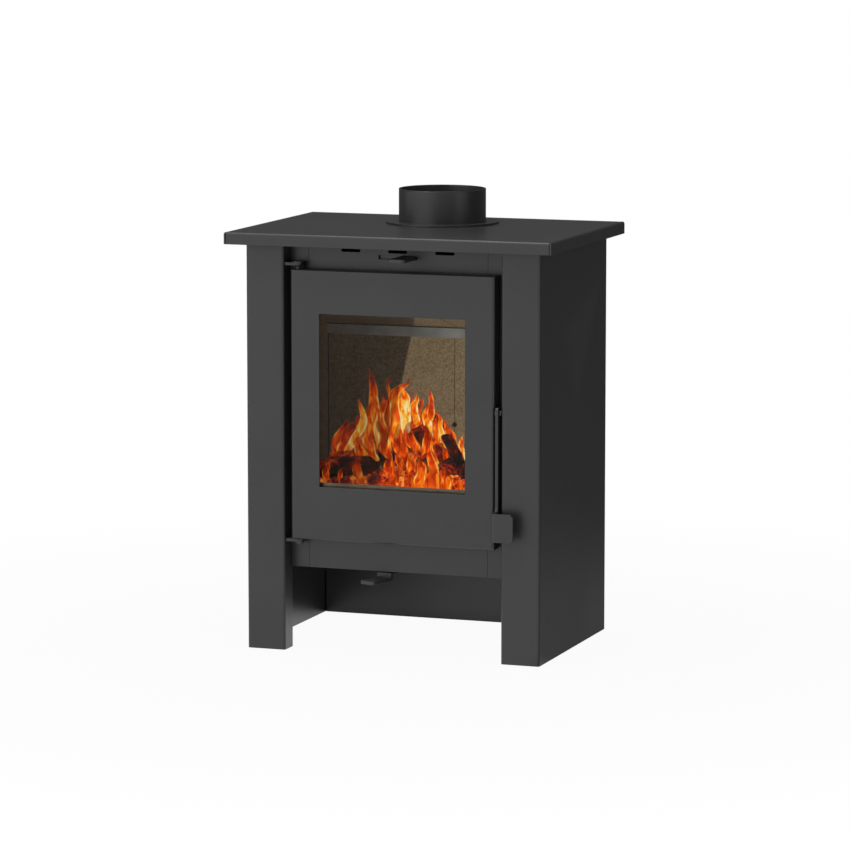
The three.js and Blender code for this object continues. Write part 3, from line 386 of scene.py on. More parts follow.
def makeFlame(name, look):
    material, tree, skin, place = startMaterial(name)
    sheet = addNode(tree, "SeparateXYZ", {"Vector": addNode(tree, "UVMap", uv_map="sheet")})
    warmth = addNode(tree, "SeparateXYZ", {"Vector": addNode(tree, "UVMap", uv_map="warmth")})
    wander = addNode(tree, "TexNoise",
                     {"Vector": place, "Scale": look["wander"], "Detail": 2.0, "Roughness": 0.5})
    moved = addNode(tree, "Mix", {0: look["bend"], 4: place, 5: wander.outputs["Color"]}, data_type="VECTOR")
    stretched = addNode(tree, "Mapping", {"Vector": moved.outputs[1], "Scale": look["stretch"]})
    streak = addNode(tree, "TexNoise", {"Vector": stretched, "Scale": look["streak"], "Detail": 4.0,
                                        "Roughness": 0.62, "Distortion": 0.6})
    side = addNode(tree, "MapRange", {"Value": sheet.outputs["X"], "To Min": -1.0})
    out = addNode(tree, "Math", {0: side}, operation="ABSOLUTE")
    # distance from the middle line, broken up by the streaks
    frayed = addNode(tree, "Math", {0: streak, 1: 0.5, 2: out}, operation="MULTIPLY_ADD")
    rim = addNode(tree, "MapRange", {"Value": frayed, "From Min": 0.85, "From Max": 1.12}, **eased)
    streakHeat = addNode(tree, "MapRange", {"Value": streak, "From Min": 0.3, "From Max": 0.72,
                                            "To Min": -0.36, "To Max": 0.32})
    base = addNode(tree, "Math", {0: warmth.outputs["X"], 1: streakHeat}, operation="ADD")
    rimmed = addNode(tree, "Math", {0: rim, 1: 0.27, 2: base}, operation="MULTIPLY_ADD")
    cooling = addNode(tree, "MapRange", {"Value": sheet.outputs["Y"], "From Min": 0.45, "To Max": -0.35})
    heat = addNode(tree, "Math", {0: rimmed, 1: cooling}, operation="ADD")
    colour = fillRamp(addNode(tree, "ValToRGB", {"Fac": heat}), look["stops"])
    fadeSide = addNode(tree, "MapRange",
                       {"Value": out, "From Min": 0.8, "To Min": 1.0, "To Max": 0.0}, **eased)
    tipNoise = addNode(tree, "Math", {0: streak, 1: 0.35, 2: sheet.outputs["Y"]}, operation="MULTIPLY_ADD")
    fadeTip = addNode(tree, "MapRange", {"Value": tipNoise, "From Min": 0.95, "From Max": 1.25,
                                         "To Min": 1.0, "To Max": 0.0}, **eased)
    fadeFoot = addNode(tree, "MapRange", {"Value": sheet.outputs["Y"], "From Max": 0.18}, **eased)
    cover = addNode(tree, "MapRange", {"Value": heat, "From Min": 0.05, "From Max": 0.55, "To Min": 0.25})
    for share in (fadeSide, fadeTip, fadeFoot, warmth.outputs["Y"]):
        cover = addNode(tree, "Math", {0: cover, 1: share}, operation="MULTIPLY")
    # the flames' glow is dimmer left of the plane, as painted shade
    glow = paintedShadeBand(tree, place, look["strength"])
    setInputs(tree, skin, {"Base Color": (0, 0, 0, 1), "Roughness": 1.0, "Specular IOR Level": 0.0,
                           "Emission Color": colour, "Emission Strength": glow, "Alpha": cover})
    return material


stovePaint = makeStovePaint("matt_stove_paint", paintLook)
dulledSteel = makeDulledSteel("heat_dulled_steel", steelLook)
vermiculite = makeVermiculite("vermiculite_board", boardLook)
castIron = makeCastIron("cast_iron", ironLook)
ceramicGlass = makeCeramicGlass("ceramic_glass", glassLook)
braidedFibre = makeBraidedGlassFibre("braided_glass_fibre", ropeLook)
charcoal = makeCharcoal("charred_beech", charLook, 0.85)
hotCharcoal = makeCharcoal("glowing_beech", charLook, 1.25)
embers = makeEmbers("wood_embers", emberLook)
flameSoot = makeFlame("wood_flame", flameLook)
finishes = {
    "casing_paint": stovePaint,
    "bare_steel": dulledSteel,
    "vermiculite": vermiculite,
    "cast_iron": castIron,
    "seal_rope": braidedFibre,
    "stove_glass": ceramicGlass,
}
burntSteelAndShade = makeDulledSteel("burnt_steel_and_painted_shade", burntAndShadeLook)
galvanised = makeDulledSteel("galvanised_steel", railLook)
# the catch pin's dark steel is painted shade for the gap it sits in
special = {"baffle_rail": galvanised, "liner_screw": burntSteelAndShade, "catch_pin": burntSteelAndShade}
for part in frame["record"]["subparts"]:
    held = nodes[part["node"]].data.materials
    held.clear()
    held.append(special.get(part["node"], finishes[part["material_slot"]]))
print("materials made")


def finishPiece(name, mesh, material, body, smooth=True):
    data = bpy.data.meshes.new(name)
    mesh.to_mesh(data)
    mesh.free()
    data.materials.append(material)
    if smooth:
        data.shade_smooth()
    else:
        data.shade_flat()
    piece = bpy.data.objects.new(name, data)
    scene.collection.objects.link(piece)
    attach(piece, body)
    return piece


tiny = 1e-6


# The door's rope and the tape under the glass are each swept once round their frame. The strands
# of the braid are laid along them in the map "braid", one unit to a strand.
def sweepFrame(low, high, look):
    width, depth, bend = look["width"], high.y - low.y, look["corner"]
    middle = (low + high) / 2
    reachX, reachZ = (high.x - low.x - width) / 2, (high.z - low.z - width) / 2
    straightX, straightZ = reachX - bend, reachZ - bend
    mesh = bmesh.new()
    bmesh.ops.create_circle(mesh, segments=look["sides"], radius=0.5, cap_ends=False)
    for v in mesh.verts:
        x, y = v.co.x, v.co.y
        squared = (abs(2 * x) ** look["square"] + abs(2 * y) ** look["square"]) ** (-1 / look["square"])
        v.co = Vector((-reachX + x * squared * width, y * squared * depth, -straightZ))
    last = list(mesh.verts) + list(mesh.edges)
    legs = [(straightZ, (0, 0, 1), (-straightX, 0, straightZ)),
            (straightX, (1, 0, 0), (straightX, 0, straightZ)),
            (straightZ, (0, 0, -1), (straightX, 0, -straightZ)),
            (straightX, (-1, 0, 0), (-straightX, 0, -straightZ))]
    for straight, way, corner in legs:
        run = 2 * straight
        steps = max(2, round(run / look["step"]))
        made = bmesh.ops.spin(mesh, geom=last, angle=0, steps=steps, dvec=Vector(way) * run / steps,
                              axis=(0, 1, 0), cent=(0, 0, 0))
        made = bmesh.ops.spin(mesh, geom=made["geom_last"], angle=math.pi / 2, steps=look["bendSteps"],
                              axis=(0, 1, 0), cent=corner)
        last = made["geom_last"]
    bmesh.ops.remove_doubles(mesh, verts=mesh.verts, dist=tiny)
    bmesh.ops.recalc_face_normals(mesh, faces=mesh.faces)

    def along(p):  # how far round the frame, and the turn round the section, at a point
        nearX = max(-straightX, min(straightX, p.x))
        nearZ = max(-straightZ, min(straightZ, p.z))
        out = Vector((p.x - nearX, 0, p.z - nearZ))
        if out.length < 1e-9:
            upright = abs(p.z) / reachZ > abs(p.x) / reachX
            out = Vector((0, 0, math.copysign(1, p.z))) if upright else Vector((math.copysign(1, p.x), 0, 0))
        radial = out.normalized()
        return nearX + nearZ + bend * math.atan2(radial.z, radial.x), math.atan2(p.y, out.length - bend)

    braid = mesh.loops.layers.uv.new("braid")
    for face in mesh.faces:
        places = [along(l.vert.co) for l in face.loops]
        fars, turns = zip(*places)
        for loop, (far, turn) in zip(face.loops, places):
            if max(turns) - min(turns) > math.pi and turn < 0:
                turn += 2 * math.pi
            if max(fars) - min(fars) > look["jump"]:
                far = fars[0]
            loop[braid].uv = (turn / (2 * math.pi) * look["strands"], far / look["pitch"])
    for v in mesh.verts:
        v.co += middle
    return mesh


# "square" is how far the section is pressed from round (2) towards square, and "jump" the change
# over one face that can only be the measure's start.
ropeShape = {"width": 0.009, "corner": 0.0052, "square": 2.6, "sides": 20, "step": 0.004, "bendSteps": 6,
             "strands": 8, "pitch": 0.008, "jump": 0.02}
tapeShape = {"width": 0.009, "corner": 0.0049, "square": 5.0, "sides": 12, "step": 0.006, "bendSteps": 4,
             "strands": 8, "pitch": 0.006, "jump": 0.02}
rope = sweepFrame(*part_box("rope_seal"), ropeShape)
doorRope = finishPiece("door_rope", rope, braidedFibre, "door")
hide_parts("rope_seal")
tape = sweepFrame(*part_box("glass_gasket"), tapeShape)
glassTape = finishPiece("glass_tape", tape, braidedFibre, "door")
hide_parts("glass_gasket")
print("rope and tape swept")


# The flue collar is a rolled tube with its rim just broken by a file.
collarShape = {"wall": 0.0025, "rim": 0.0007, "support": 0.0025, "steps": 144}


def rollCollar(low, high, look):
    middle = (low + high) / 2
    outer = (high.x - low.x) / 2
    inner = outer - look["wall"]
    heights = [low.z, low.z + look["support"], high.z - look["support"], high.z]
    tube = bmesh.new()
    section = [tube.verts.new((middle.x + outer, middle.y, z)) for z in heights]
    section += [tube.verts.new((middle.x + inner, middle.y, z)) for z in reversed(heights)]
    loop = [tube.edges.new((a, b)) for a, b in zip(section, section[1:] + section[:1])]
    bmesh.ops.spin(tube, geom=section + loop, cent=middle, axis=(0, 0, 1), angle=2 * math.pi,
                   steps=look["steps"], use_merge=True)
    bmesh.ops.recalc_face_normals(tube, faces=tube.faces)

    def reach(v):
        return (v.co - middle).xy.length

    rims = [e for e in tube.edges if all(v.co.z > high.z - tiny for v in e.verts)
            and abs(reach(e.verts[0]) - reach(e.verts[1])) < tiny]
    bmesh.ops.bevel(tube, geom=rims, offset=look["rim"], offset_type="OFFSET", affect="EDGES", segments=3,
                    profile=0.5, material=-1)
    return tube


tube = rollCollar(*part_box("flue_spigot"), collarShape)
flueCollar = finishPiece("flue_collar", tube, stovePaint, "stove")
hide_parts("flue_spigot")
print("collar rolled")


# The boards butt against each other with a dark line of soot between them: one up the back wall,
# one up its left corner and one along the baffle's underside. The line where the baffle meets its
# rail is painted shadow, the shade in that join.
sootAndShadowLook = {"shade": "#2a241c", "dust": "#3a3226", "fleck": 0.004}


def makeSootAndShadow(name, look):
    material, tree, skin, place = startMaterial(name)
    fleck = addNode(tree, "TexNoise", {"Vector": place, "Scale": 1 / look["fleck"], "Detail": 2.0})
    colour = fillRamp(addNode(tree, "ValToRGB", {"Fac": fleck}), [(0.4, look["shade"]), (0.65, look["dust"])])
    setInputs(tree, skin, {"Base Color": colour, "Roughness": 1.0, "Specular IOR Level": 0.0})
    return material


# The baffle slopes, so the last line has its own height at the front and a small lift at the rear.
seamShape = {"width": 0.0009, "proud": 0.00025, "baffleAt": 0.007, "baffleFront": 0.5806,
             "baffleLift": 0.0011}


def laySeams(look):
    seams = bmesh.new()
    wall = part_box("back_liner_left")[0]
    railLow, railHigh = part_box("baffle_rail")
    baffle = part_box("baffle_left")[0]
    corner, join = wall.x + look["width"] / 2, railHigh.z - look["width"] / 2
    runs = [((0, wall.y, wall.z), (0, wall.y, railLow.z), (0, -1, 0)),
            ((corner, wall.y, wall.z), (corner, wall.y, railLow.z), (0, -1, 0)),
            # painted shadow along the rail's top edge, under the baffle
            ((railLow.x, railLow.y, join), (railHigh.x, railLow.y, join), (0, -1, 0)),
            ((look["baffleAt"], baffle.y, look["baffleFront"]),
             (look["baffleAt"], railLow.y, baffle.z + look["baffleLift"]), (0, 0, -1))]
    for run in runs:
        start, end, out = (Vector(p) for p in run)
        across = (end - start).cross(out).normalized()
        for v in bmesh.ops.create_cube(seams, size=1.0)["verts"]:
            x, y, z = v.co
            v.co = start.lerp(end, z + 0.5) + across * x * look["width"] + out * (y + 0.5) * look["proud"]
    bmesh.ops.recalc_face_normals(seams, faces=seams.faces)
    return seams


finishPiece("board_seams", laySeams(seamShape), makeSootAndShadow("soot", sootAndShadowLook), "stove", smooth=False)
print("board seams laid")


# The fire shows through the window and is no part of the stove's metal. Its points are (x, z) in
# millimetres, z over the floor, with y counted back from a line in front of the stove's middle.
fireLine = -26
hearthTop = 250


def firePoint(x, z, back=0.0):
    return Vector((x, fireLine + back, z)) / 1000


# A tongue is a flattened bulb bent along foot, waist and tip. Its swell is widest low down
# ("belly"), rounded by "blunt" and narrowed towards the tip by "taper".
tongueShape = {
    "sections": 26, "sides": 12,
    "belly": 0.78, "blunt": 0.66, "taper": 0.38,
    "sway": 0.004, "swayOfWidth": 0.00045, "swayBack": 0.010,
    "ragged": 0.35,
    "curl": 0.35,
    "thick": 0.22,  # share of the half width
}


def tongue(mesh, foot, waist, tip, width, back, warmth, cover, seed, shape=tongueShape):
    sheet, heat = (mesh.loops.layers.uv[name] for name in ("sheet", "warmth"))
    made = bmesh.ops.create_uvsphere(mesh, u_segments=shape["sides"], v_segments=shape["sections"],
                                     radius=1.0)
    a, b, c = (firePoint(*p, back) for p in (foot, waist, tip))
    place = {}
    for v in made["verts"]:
        girth = math.sqrt(max(1e-9, 1 - v.co.z ** 2))
        side, t, depth = v.co.x / girth, max(0.0, min(1.0, 0.5 + 0.5 * v.co.z)), v.co.y / girth
        place[v] = (0.5 + 0.5 * max(-1, min(1, side)), t)
        line = a * (1 - t) ** 2 + b * 2 * t * (1 - t) + c * t * t
        slope = ((b - a) * (1 - t) + (c - b) * t).normalized()
        across = slope.cross(Vector((0, 1, 0))).normalized() * -1
        swell = math.sin(math.pi * min(1.0, t ** shape["belly"])) ** shape["blunt"] * (1 - shape["taper"] * t)
        sway = noise.noise(Vector((seed * 3.7, t * 2.6, 0.3)))
        sway *= (shape["sway"] + width * shape["swayOfWidth"]) * (0.3 + t)
        swayBack = noise.noise(Vector((seed * 5.1, t * 2.2, 4.3))) * shape["swayBack"] * t
        edge = 1 + shape["ragged"] * noise.noise(Vector((seed * 1.3, t * 5.0, side * 0.8)))
        half = width / 2000 * swell * edge
        curl = shape["curl"] * half * (1 - side * side)
        deeper = swayBack - curl + depth * half * shape["thick"]
        v.co = line + across * (side * half + sway) + Vector((0, deeper, 0))
    for face in {f for v in made["verts"] for f in v.link_faces}:
        for loop in face.loops:
            loop[sheet].uv = place[loop.vert]
            loop[heat].uv = (warmth, cover)


# foot, waist and tip of each tongue, its width, how far back it stands, its heat and its cover
tongues = [
    ((-79, 360), (-96, 420), (-97, 471), 25, 8, 0.59, 0.95),
    ((-62, 420), (-72, 448), (-56, 466), 8, 14, 0.37, 0.85),
    ((-57, 350), (-50, 425), (-43, 456), 30, 12, 0.61, 0.95),
    ((-30, 350), (-36, 415), (-30, 445), 27, 4, 0.83, 1.0),
    ((4, 360), (14, 412), (17, 441), 15, 12, 0.51, 0.95),
    ((20, 352), (2, 390), (1, 412), 19, 2, 0.72, 1.0),
    ((37, 340), (30, 380), (36, 398), 12, 8, 0.79, 1.0),
    ((-140, 325), (-96, 372), (-118, 417), 20, 0, 0.78, 1.0),
    ((-104, 322), (-88, 380), (-108, 413), 27, 8, 0.58, 1.0),
    ((-79, 335), (-80, 390), (-89, 415), 14, -4, 0.70, 1.0),
    ((-156, 308), (-142, 362), (-126, 390), 34, 16, 0.36, 0.95),
    ((-165, 312), (-158, 348), (-132, 384), 17, 10, 0.46, 0.95),
    ((-50, 326), (-58, 362), (-75, 384), 17, -12, 0.48, 0.95),
    ((-72, 315), (-66, 368), (-54, 402), 44, 16, 0.46, 1.0),
    ((-38, 320), (-33, 372), (-42, 404), 38, 20, 0.42, 1.0),
    ((-14, 330), (-6, 380), (-14, 410), 34, 16, 0.52, 1.0),
    ((10, 330), (26, 372), (24, 392), 26, 12, 0.58, 1.0),
    ((45, 268), (36, 326), (29, 374), 23, -34, 0.50, 0.95),
    ((-10, 296), (-26, 338), (-33, 367), 18, -28, 0.42, 0.95),
    ((73, 305), (58, 350), (46, 372), 20, 6, 0.75, 0.95),
    ((79, 296), (72, 338), (64, 360), 17, 2, 0.71, 0.95),
    ((88, 290), (84, 325), (79, 346), 16, 0, 0.61, 0.95),
    ((32, 262), (10, 288), (6, 324), 30, -46, 0.60, 1.0),
    ((42, 258), (58, 288), (56, 314), 24, -44, 0.56, 1.0),
    ((77, 254), (76, 272), (69, 290), 15, -40, 0.60, 1.0),
    ((-42, 258), (-34, 290), (-22, 312), 28, -44, 0.42, 1.0),
    ((-6, 258), (-10, 290), (-2, 312), 26, -40, 0.36, 1.0),
    ((-58, 296), (-72, 330), (-91, 341), 14, -36, 0.64, 1.0),
    ((-93, 266), (-78, 294), (-92, 318), 13, -42, 0.50, 1.0),
    ((-130, 304), (-112, 312), (-117, 332), 11, -30, 0.50, 1.0),
    ((-127, 274), (-130, 296), (-113, 311), 13, -44, 0.34, 1.0),
    ((-166, 284), (-172, 298), (-167, 311), 11, -34, 0.40, 1.0),
    ((-178, 266), (-176, 284), (-184, 300), 11, -38, 0.40, 1.0),
    ((-54, 258), (-66, 276), (-58, 294), 16, -50, 0.38, 1.0),
    ((-73, 260), (-72, 276), (-78, 290), 14, -50, 0.46, 1.0),
    ((12, 254), (22, 268), (14, 284), 15, -50, 0.62, 1.0),
    ((-46, 318), (-70, 352), (-62, 388), 26, -26, 0.40, 1.0),
    ((-64, 300), (-92, 336), (-80, 366), 22, -30, 0.62, 1.0),
    ((-22, 322), (-44, 352), (-34, 384), 24, -22, 0.34, 1.0),
    ((2, 330), (-18, 362), (-4, 392), 26, -20, 0.46, 1.0),
    ((22, 318), (12, 352), (24, 382), 20, -24, 0.50, 1.0),
    ((-96, 300), (-118, 330), (-104, 360), 24, -20, 0.50, 0.95),
    ((-4, 284), (-16, 314), (2, 344), 22, -36, 0.42, 1.0),
    ((60, 282), (50, 312), (66, 344), 20, -32, 0.50, 1.0),
    ((-36, 280), (-52, 304), (-40, 332), 22, -38, 0.46, 1.0),
    ((-70, 356), (-86, 396), (-74, 428), 20, 10, 0.59, 0.95),
    ((-12, 372), (-20, 404), (-10, 430), 18, 10, 0.69, 0.95),
    ((-112, 336), (-126, 366), (-112, 396), 22, 12, 0.46, 0.95),
    ((110, 280), (98, 322), (104, 352), 22, 8, 0.65, 0.95),
    ((128, 270), (136, 306), (124, 336), 20, 2, 0.59, 0.95),
    ((102, 262), (96, 286), (108, 306), 18, -38, 0.58, 1.0),
    ((150, 262), (146, 284), (156, 304), 16, -10, 0.50, 1.0),
    ((-100, 300), (-104, 362), (-96, 412), 74, 30, 0.36, 0.9),
    ((-62, 300), (-60, 372), (-68, 430), 70, 34, 0.34, 0.9),
    ((-24, 300), (-30, 376), (-24, 436), 70, 32, 0.36, 0.9),
    ((14, 300), (16, 366), (10, 412), 62, 30, 0.38, 0.9),
    ((38, 290), (34, 350), (28, 388), 34, 28, 0.55, 0.9),
    ((56, 300), (44, 342), (42, 370), 18, 8, 0.93, 0.9),
    ((66, 300), (58, 336), (56, 364), 16, 12, 0.83, 0.9),
    ((76, 296), (68, 332), (66, 361), 16, 10, 0.95, 0.9),
    ((86, 292), (78, 326), (74, 350), 16, 14, 0.85, 0.9),
    ((96, 286), (86, 318), (84, 342), 18, 10, 0.97, 0.9),
    ((106, 280), (96, 306), (92, 330), 20, 16, 0.79, 0.9),
    ((-150, 276), (-158, 296), (-146, 318), 16, -58, 0.42, 1.0),
    ((-122, 272), (-134, 290), (-120, 308), 14, -60, 0.50, 1.0),
    ((-96, 288), (-104, 312), (-90, 328), 15, -56, 0.36, 1.0),
    ((-84, 272), (-94, 296), (-84, 316), 13, -58, 0.54, 1.0),
    ((-184, 288), (-178, 306), (-186, 322), 12, -40, 0.46, 1.0),
    ((-20, 256), (-34, 274), (-24, 296), 18, -60, 0.52, 1.0),
    ((30, 256), (44, 280), (36, 306), 20, -62, 0.56, 1.0),
    ((56, 254), (70, 276), (66, 300), 20, -62, 0.64, 1.0),
    ((92, 254), (84, 274), (92, 296), 16, -60, 0.58, 1.0),
    ((-92, 336), (-92, 390), (-86, 424), 32, 26, 0.42, 0.95),
    ((-74, 340), (-74, 398), (-72, 434), 30, 24, 0.53, 0.95),
    ((-62, 345), (-58, 400), (-62, 432), 28, 28, 0.55, 0.95),
    ((-20, 345), (-24, 392), (-14, 426), 30, 24, 0.42, 0.95),
    ((6, 340), (10, 380), (4, 410), 28, 26, 0.44, 0.95),
    ((24, 330), (28, 368), (20, 396), 26, 24, 0.54, 0.95),
    ((-118, 320), (-116, 362), (-106, 400), 30, 26, 0.40, 0.95),
    ((-138, 306), (-136, 344), (-124, 376), 28, 28, 0.38, 0.95),
    ((14, 252), (22, 290), (8, 330), 34, -66, 0.60, 1.0),
    ((38, 252), (46, 286), (40, 320), 36, -64, 0.58, 1.0),
    ((60, 252), (74, 280), (70, 302), 24, -64, 0.64, 1.0),
    ((-10, 252), (-2, 276), (-12, 304), 26, -64, 0.40, 1.0),
    ((52, 262), (34, 318), (34, 374), 20, -60, 0.58, 1.0),
    ((68, 252), (56, 284), (62, 316), 28, -66, 0.56, 1.0),
    ((4, 252), (-2, 282), (12, 308), 26, -66, 0.52, 1.0),
    ((26, 252), (36, 276), (24, 300), 28, -68, 0.62, 1.0),
]

# The short flames between the logs stand under an arch over the hearth.
smallFlames = {
    "count": 46, "seed": 11, "sections": 16, "sides": 8,
    "across": (-180, 150), "foot": 256,
    "arch": 330, "archMiddle": -20, "archFall": 0.0022, "leastArch": 266,
    "rise": (16, 44), "lean": 9, "waist": 8, "width": (7, 17), "back": (-48, 30),
    "warmth": (0.31, 0.61), "coolFrom": -85, "cooler": 0.1, "cover": 0.9,
}


def makeFire(look):
    fire = bmesh.new()
    for name in ("sheet", "warmth"):
        fire.loops.layers.uv.new(name)
    for i, (foot, waist, tip, width, back, warmth, cover) in enumerate(tongues):
        tongue(fire, foot, waist, tip, width, back, warmth, cover, i + 1)
    dice = random.Random(look["seed"])
    small = dict(tongueShape, sections=look["sections"], sides=look["sides"])
    for i in range(look["count"]):
        x = dice.uniform(*look["across"])
        arch = look["arch"] - look["archFall"] * (x - look["archMiddle"]) ** 2
        z = dice.uniform(look["foot"], max(look["leastArch"], arch))
        rise = dice.uniform(*look["rise"])
        lean = dice.uniform(-look["lean"], look["lean"])
        waist = (x + dice.uniform(-look["waist"], look["waist"]), z + rise * 0.5)
        width = dice.uniform(*look["width"])
        back = dice.uniform(*look["back"])
        warmth = dice.uniform(*look["warmth"]) - (look["cooler"] if x < look["coolFrom"] else 0.0)
        tongue(fire, (x, z), waist, (x + lean, z + rise), width, back, warmth, look["cover"], 60 + i, small)
    return fire


flames = finishPiece("fire_flames", makeFire(smallFlames), flameSoot, "stove")
for way in ("diffuse", "glossy", "shadow", "volume_scatter"):
    setattr(flames, "visible_" + way, False)
print("flames made")

logShape = {
    "sides": 28,
    "ring": 0.006,  # from one ring of faces to the next
    "endRings": (0.3, 0.35),
    "lumps": (26, 12, 0.30),  # waves to a metre across and along, and share of the radius
    "grit": (90, 60, 0.16),  # the same
    "splits": (3.2, 14, 0.16),  # the same, with the first counted round the log
    "bend": (18, 0.16),  # along only
    "brokenEnd": (70, 0.004),  # across only, and metres
}


def log(start, end, radius, seed, shape=logShape):
    a, b = firePoint(*start), firePoint(*end)
    length = (b - a).length
    turn = Vector((0, 0, 1)).rotation_difference((b - a).normalized()).to_matrix().to_4x4()
    radius /= 1000
    wood = bmesh.new()
    bmesh.ops.create_cone(wood, cap_ends=True, cap_tris=False, segments=shape["sides"],
                          radius1=radius, radius2=radius, depth=length)
    for share in shape["endRings"]:
        caps = [f for f in wood.faces if len(f.verts) == shape["sides"]]
        bmesh.ops.inset_individual(wood, faces=caps, thickness=radius * share, use_even_offset=True)
    long = [e for e in wood.edges if abs(e.verts[0].co.z - e.verts[1].co.z) > 0.001]
    cuts = max(2, round(length / shape["ring"]))
    bmesh.ops.subdivide_edges(wood, edges=long, cuts=cuts, use_grid_fill=True)
    lumpX, lumpZ, lump = shape["lumps"]
    gritX, gritZ, grit = shape["grit"]
    splitRound, splitZ, split = shape["splits"]
    bendZ, bend = shape["bend"]
    endX, broken = shape["brokenEnd"]
    for v in wood.verts:
        x, y, z = v.co
        rough = noise.noise(Vector((x * lumpX, y * lumpX, z * lumpZ + seed))) * lump
        rough += noise.noise(Vector((x * gritX, y * gritX, z * gritZ + seed * 2))) * grit
        rough -= abs(noise.noise(Vector((math.atan2(y, x) * splitRound, seed, z * splitZ)))) * split
        v.co += Vector((x, y, 0)) * rough
        v.co.x += math.sin(z * bendZ + seed) * radius * bend
        v.co.z += noise.noise(Vector((x * endX, y * endX, seed))) * broken
    bmesh.ops.transform(wood, matrix=Matrix.Translation((a + b) / 2) @ turn, verts=wood.verts)
    return wood


def addTo(whole, part):
    data = bpy.data.meshes.new("part")
    part.to_mesh(data)
    part.free()
    whole.from_mesh(data)
    bpy.data.meshes.remove(data)


# ends of each log as (x, z, back) and its radius
coolLogs = [
    ((-200, 284, -34), (-62, 300, -22), 25),
    ((48, 362, -14), (104, 268, -32), 10),
    ((110, 276, 20), (190, 272, -8), 24),
]
hotLogs = [
    ((-104, 298, 6), (16, 364, 10), 18),
    ((-30, 286, -10), (46, 334, -18), 17),
    ((2, 272, -34), (70, 318, -26), 14),
    ((-168, 290, 30), (-30, 322, 34), 27),
    ((-10, 300, 44), (134, 284, 40), 27),
]
for name, logs, finish in (("fire_logs", coolLogs, charcoal), ("fire_hot_logs", hotLogs, hotCharcoal)):
    wood = bmesh.new()
    for i, (start, end, radius) in enumerate(logs):
        addTo(wood, log(start, end, radius, i + 3.7))
    bmesh.ops.recalc_face_normals(wood, faces=wood.faces)
    burning = finishPiece(name, wood, finish, "stove")
    # the glow stays off the lining, as in a lit studio
    burning.visible_diffuse = burning.visible_shadow = False
print("logs made")

# The bed of embers: lumps heaped over the grate, each knocked out of round and turned.
bedShape = {
    "lumps": 380, "seed": 5,
    "halfWidth": 190, "front": -86, "rear": 84, "height": 34,
    "size": (5, 14), "wide": (0.8, 1.3), "tall": (0.6, 0.9), "rough": 0.35,
    "over": 0.5, "clear": 0.2,  # over the hearth, as placed and at the least
}


def heapEmbers(look):
    bed = bmesh.new()
    dice = random.Random(look["seed"])
    lowest = (hearthTop + look["clear"]) / 1000
    for i in range(look["lumps"]):
        x = dice.uniform(-1, 1)
        y = dice.uniform(look["front"], look["rear"])
        size = dice.uniform(*look["size"]) / 1000
        edge = max(0.0, 1 - abs(x) ** 4)
        middle = 1 - abs((y - (look["front"] + look["rear"]) / 2) / (look["rear"] - look["front"]) * 2) ** 4
        z = hearthTop + look["over"] + size * 1000
        z += look["height"] * edge * max(0.0, middle) * dice.uniform(0.0, 1.0)
        made = bmesh.ops.create_icosphere(bed, subdivisions=2, radius=size)["verts"]
        squash = Vector([dice.uniform(*look[name]) for name in ("wide", "wide", "tall")])
        turn = dice.uniform(0, 6.28)
        spin = Matrix.Rotation(turn, 3, Vector((dice.uniform(-1, 1), dice.uniform(-1, 1), 1)).normalized())
        centre = firePoint(x * look["halfWidth"], z, y)
        for v in made:
            lump = v.co * (1 + look["rough"] * noise.noise(v.co * 0.9 / size + Vector((i, 0, 0))))
            v.co = centre + spin @ Vector((lump.x * squash.x, lump.y * squash.y, lump.z * squash.z))
        low = min(v.co.z for v in made)
        if low < lowest:
            for v in made:
                v.co.z += lowest - low
    return bed


heap = finishPiece("fire_embers", heapEmbers(bedShape), embers, "stove", smooth=False)
heap.visible_diffuse = heap.visible_shadow = False
print("embers heaped")

# The camera as it was fitted to the edges of the stove in the photo.
view = {"lens": 184.84, "place": (2.4757, -6.9890, 1.3997), "yaw": -19.528, "pitch": -7.886, "farthest": 60}
yaw, pitch = math.radians(view["yaw"]), math.radians(view["pitch"])
camera = bpy.data.objects.new("camera", bpy.data.cameras.new("camera"))
scene.collection.objects.link(camera)
camera.data.lens = view["lens"]
camera.data.clip_end = view["farthest"]
camera.location = view["place"]
aim = Vector((math.sin(yaw) * math.cos(pitch), math.cos(yaw) * math.cos(pitch), math.sin(pitch)))
camera.rotation_euler = aim.to_track_quat("-Z", "Y").to_euler()
scene.camera = camera


def addSoftbox(name, place, target, size, watts, colour="#ffffff"):
    data = bpy.data.lights.new(name, "AREA")
    data.shape = "RECTANGLE"
    data.size, data.size_y = size
    data.energy = watts
    data.color = linear(colour)[:3]
    lamp = bpy.data.objects.new(name, data)
    scene.collection.objects.link(lamp)
    lamp.location = place
    lamp.rotation_euler = (Vector(target) - Vector(place)).to_track_quat("-Z", "Y").to_euler()
    return lamp


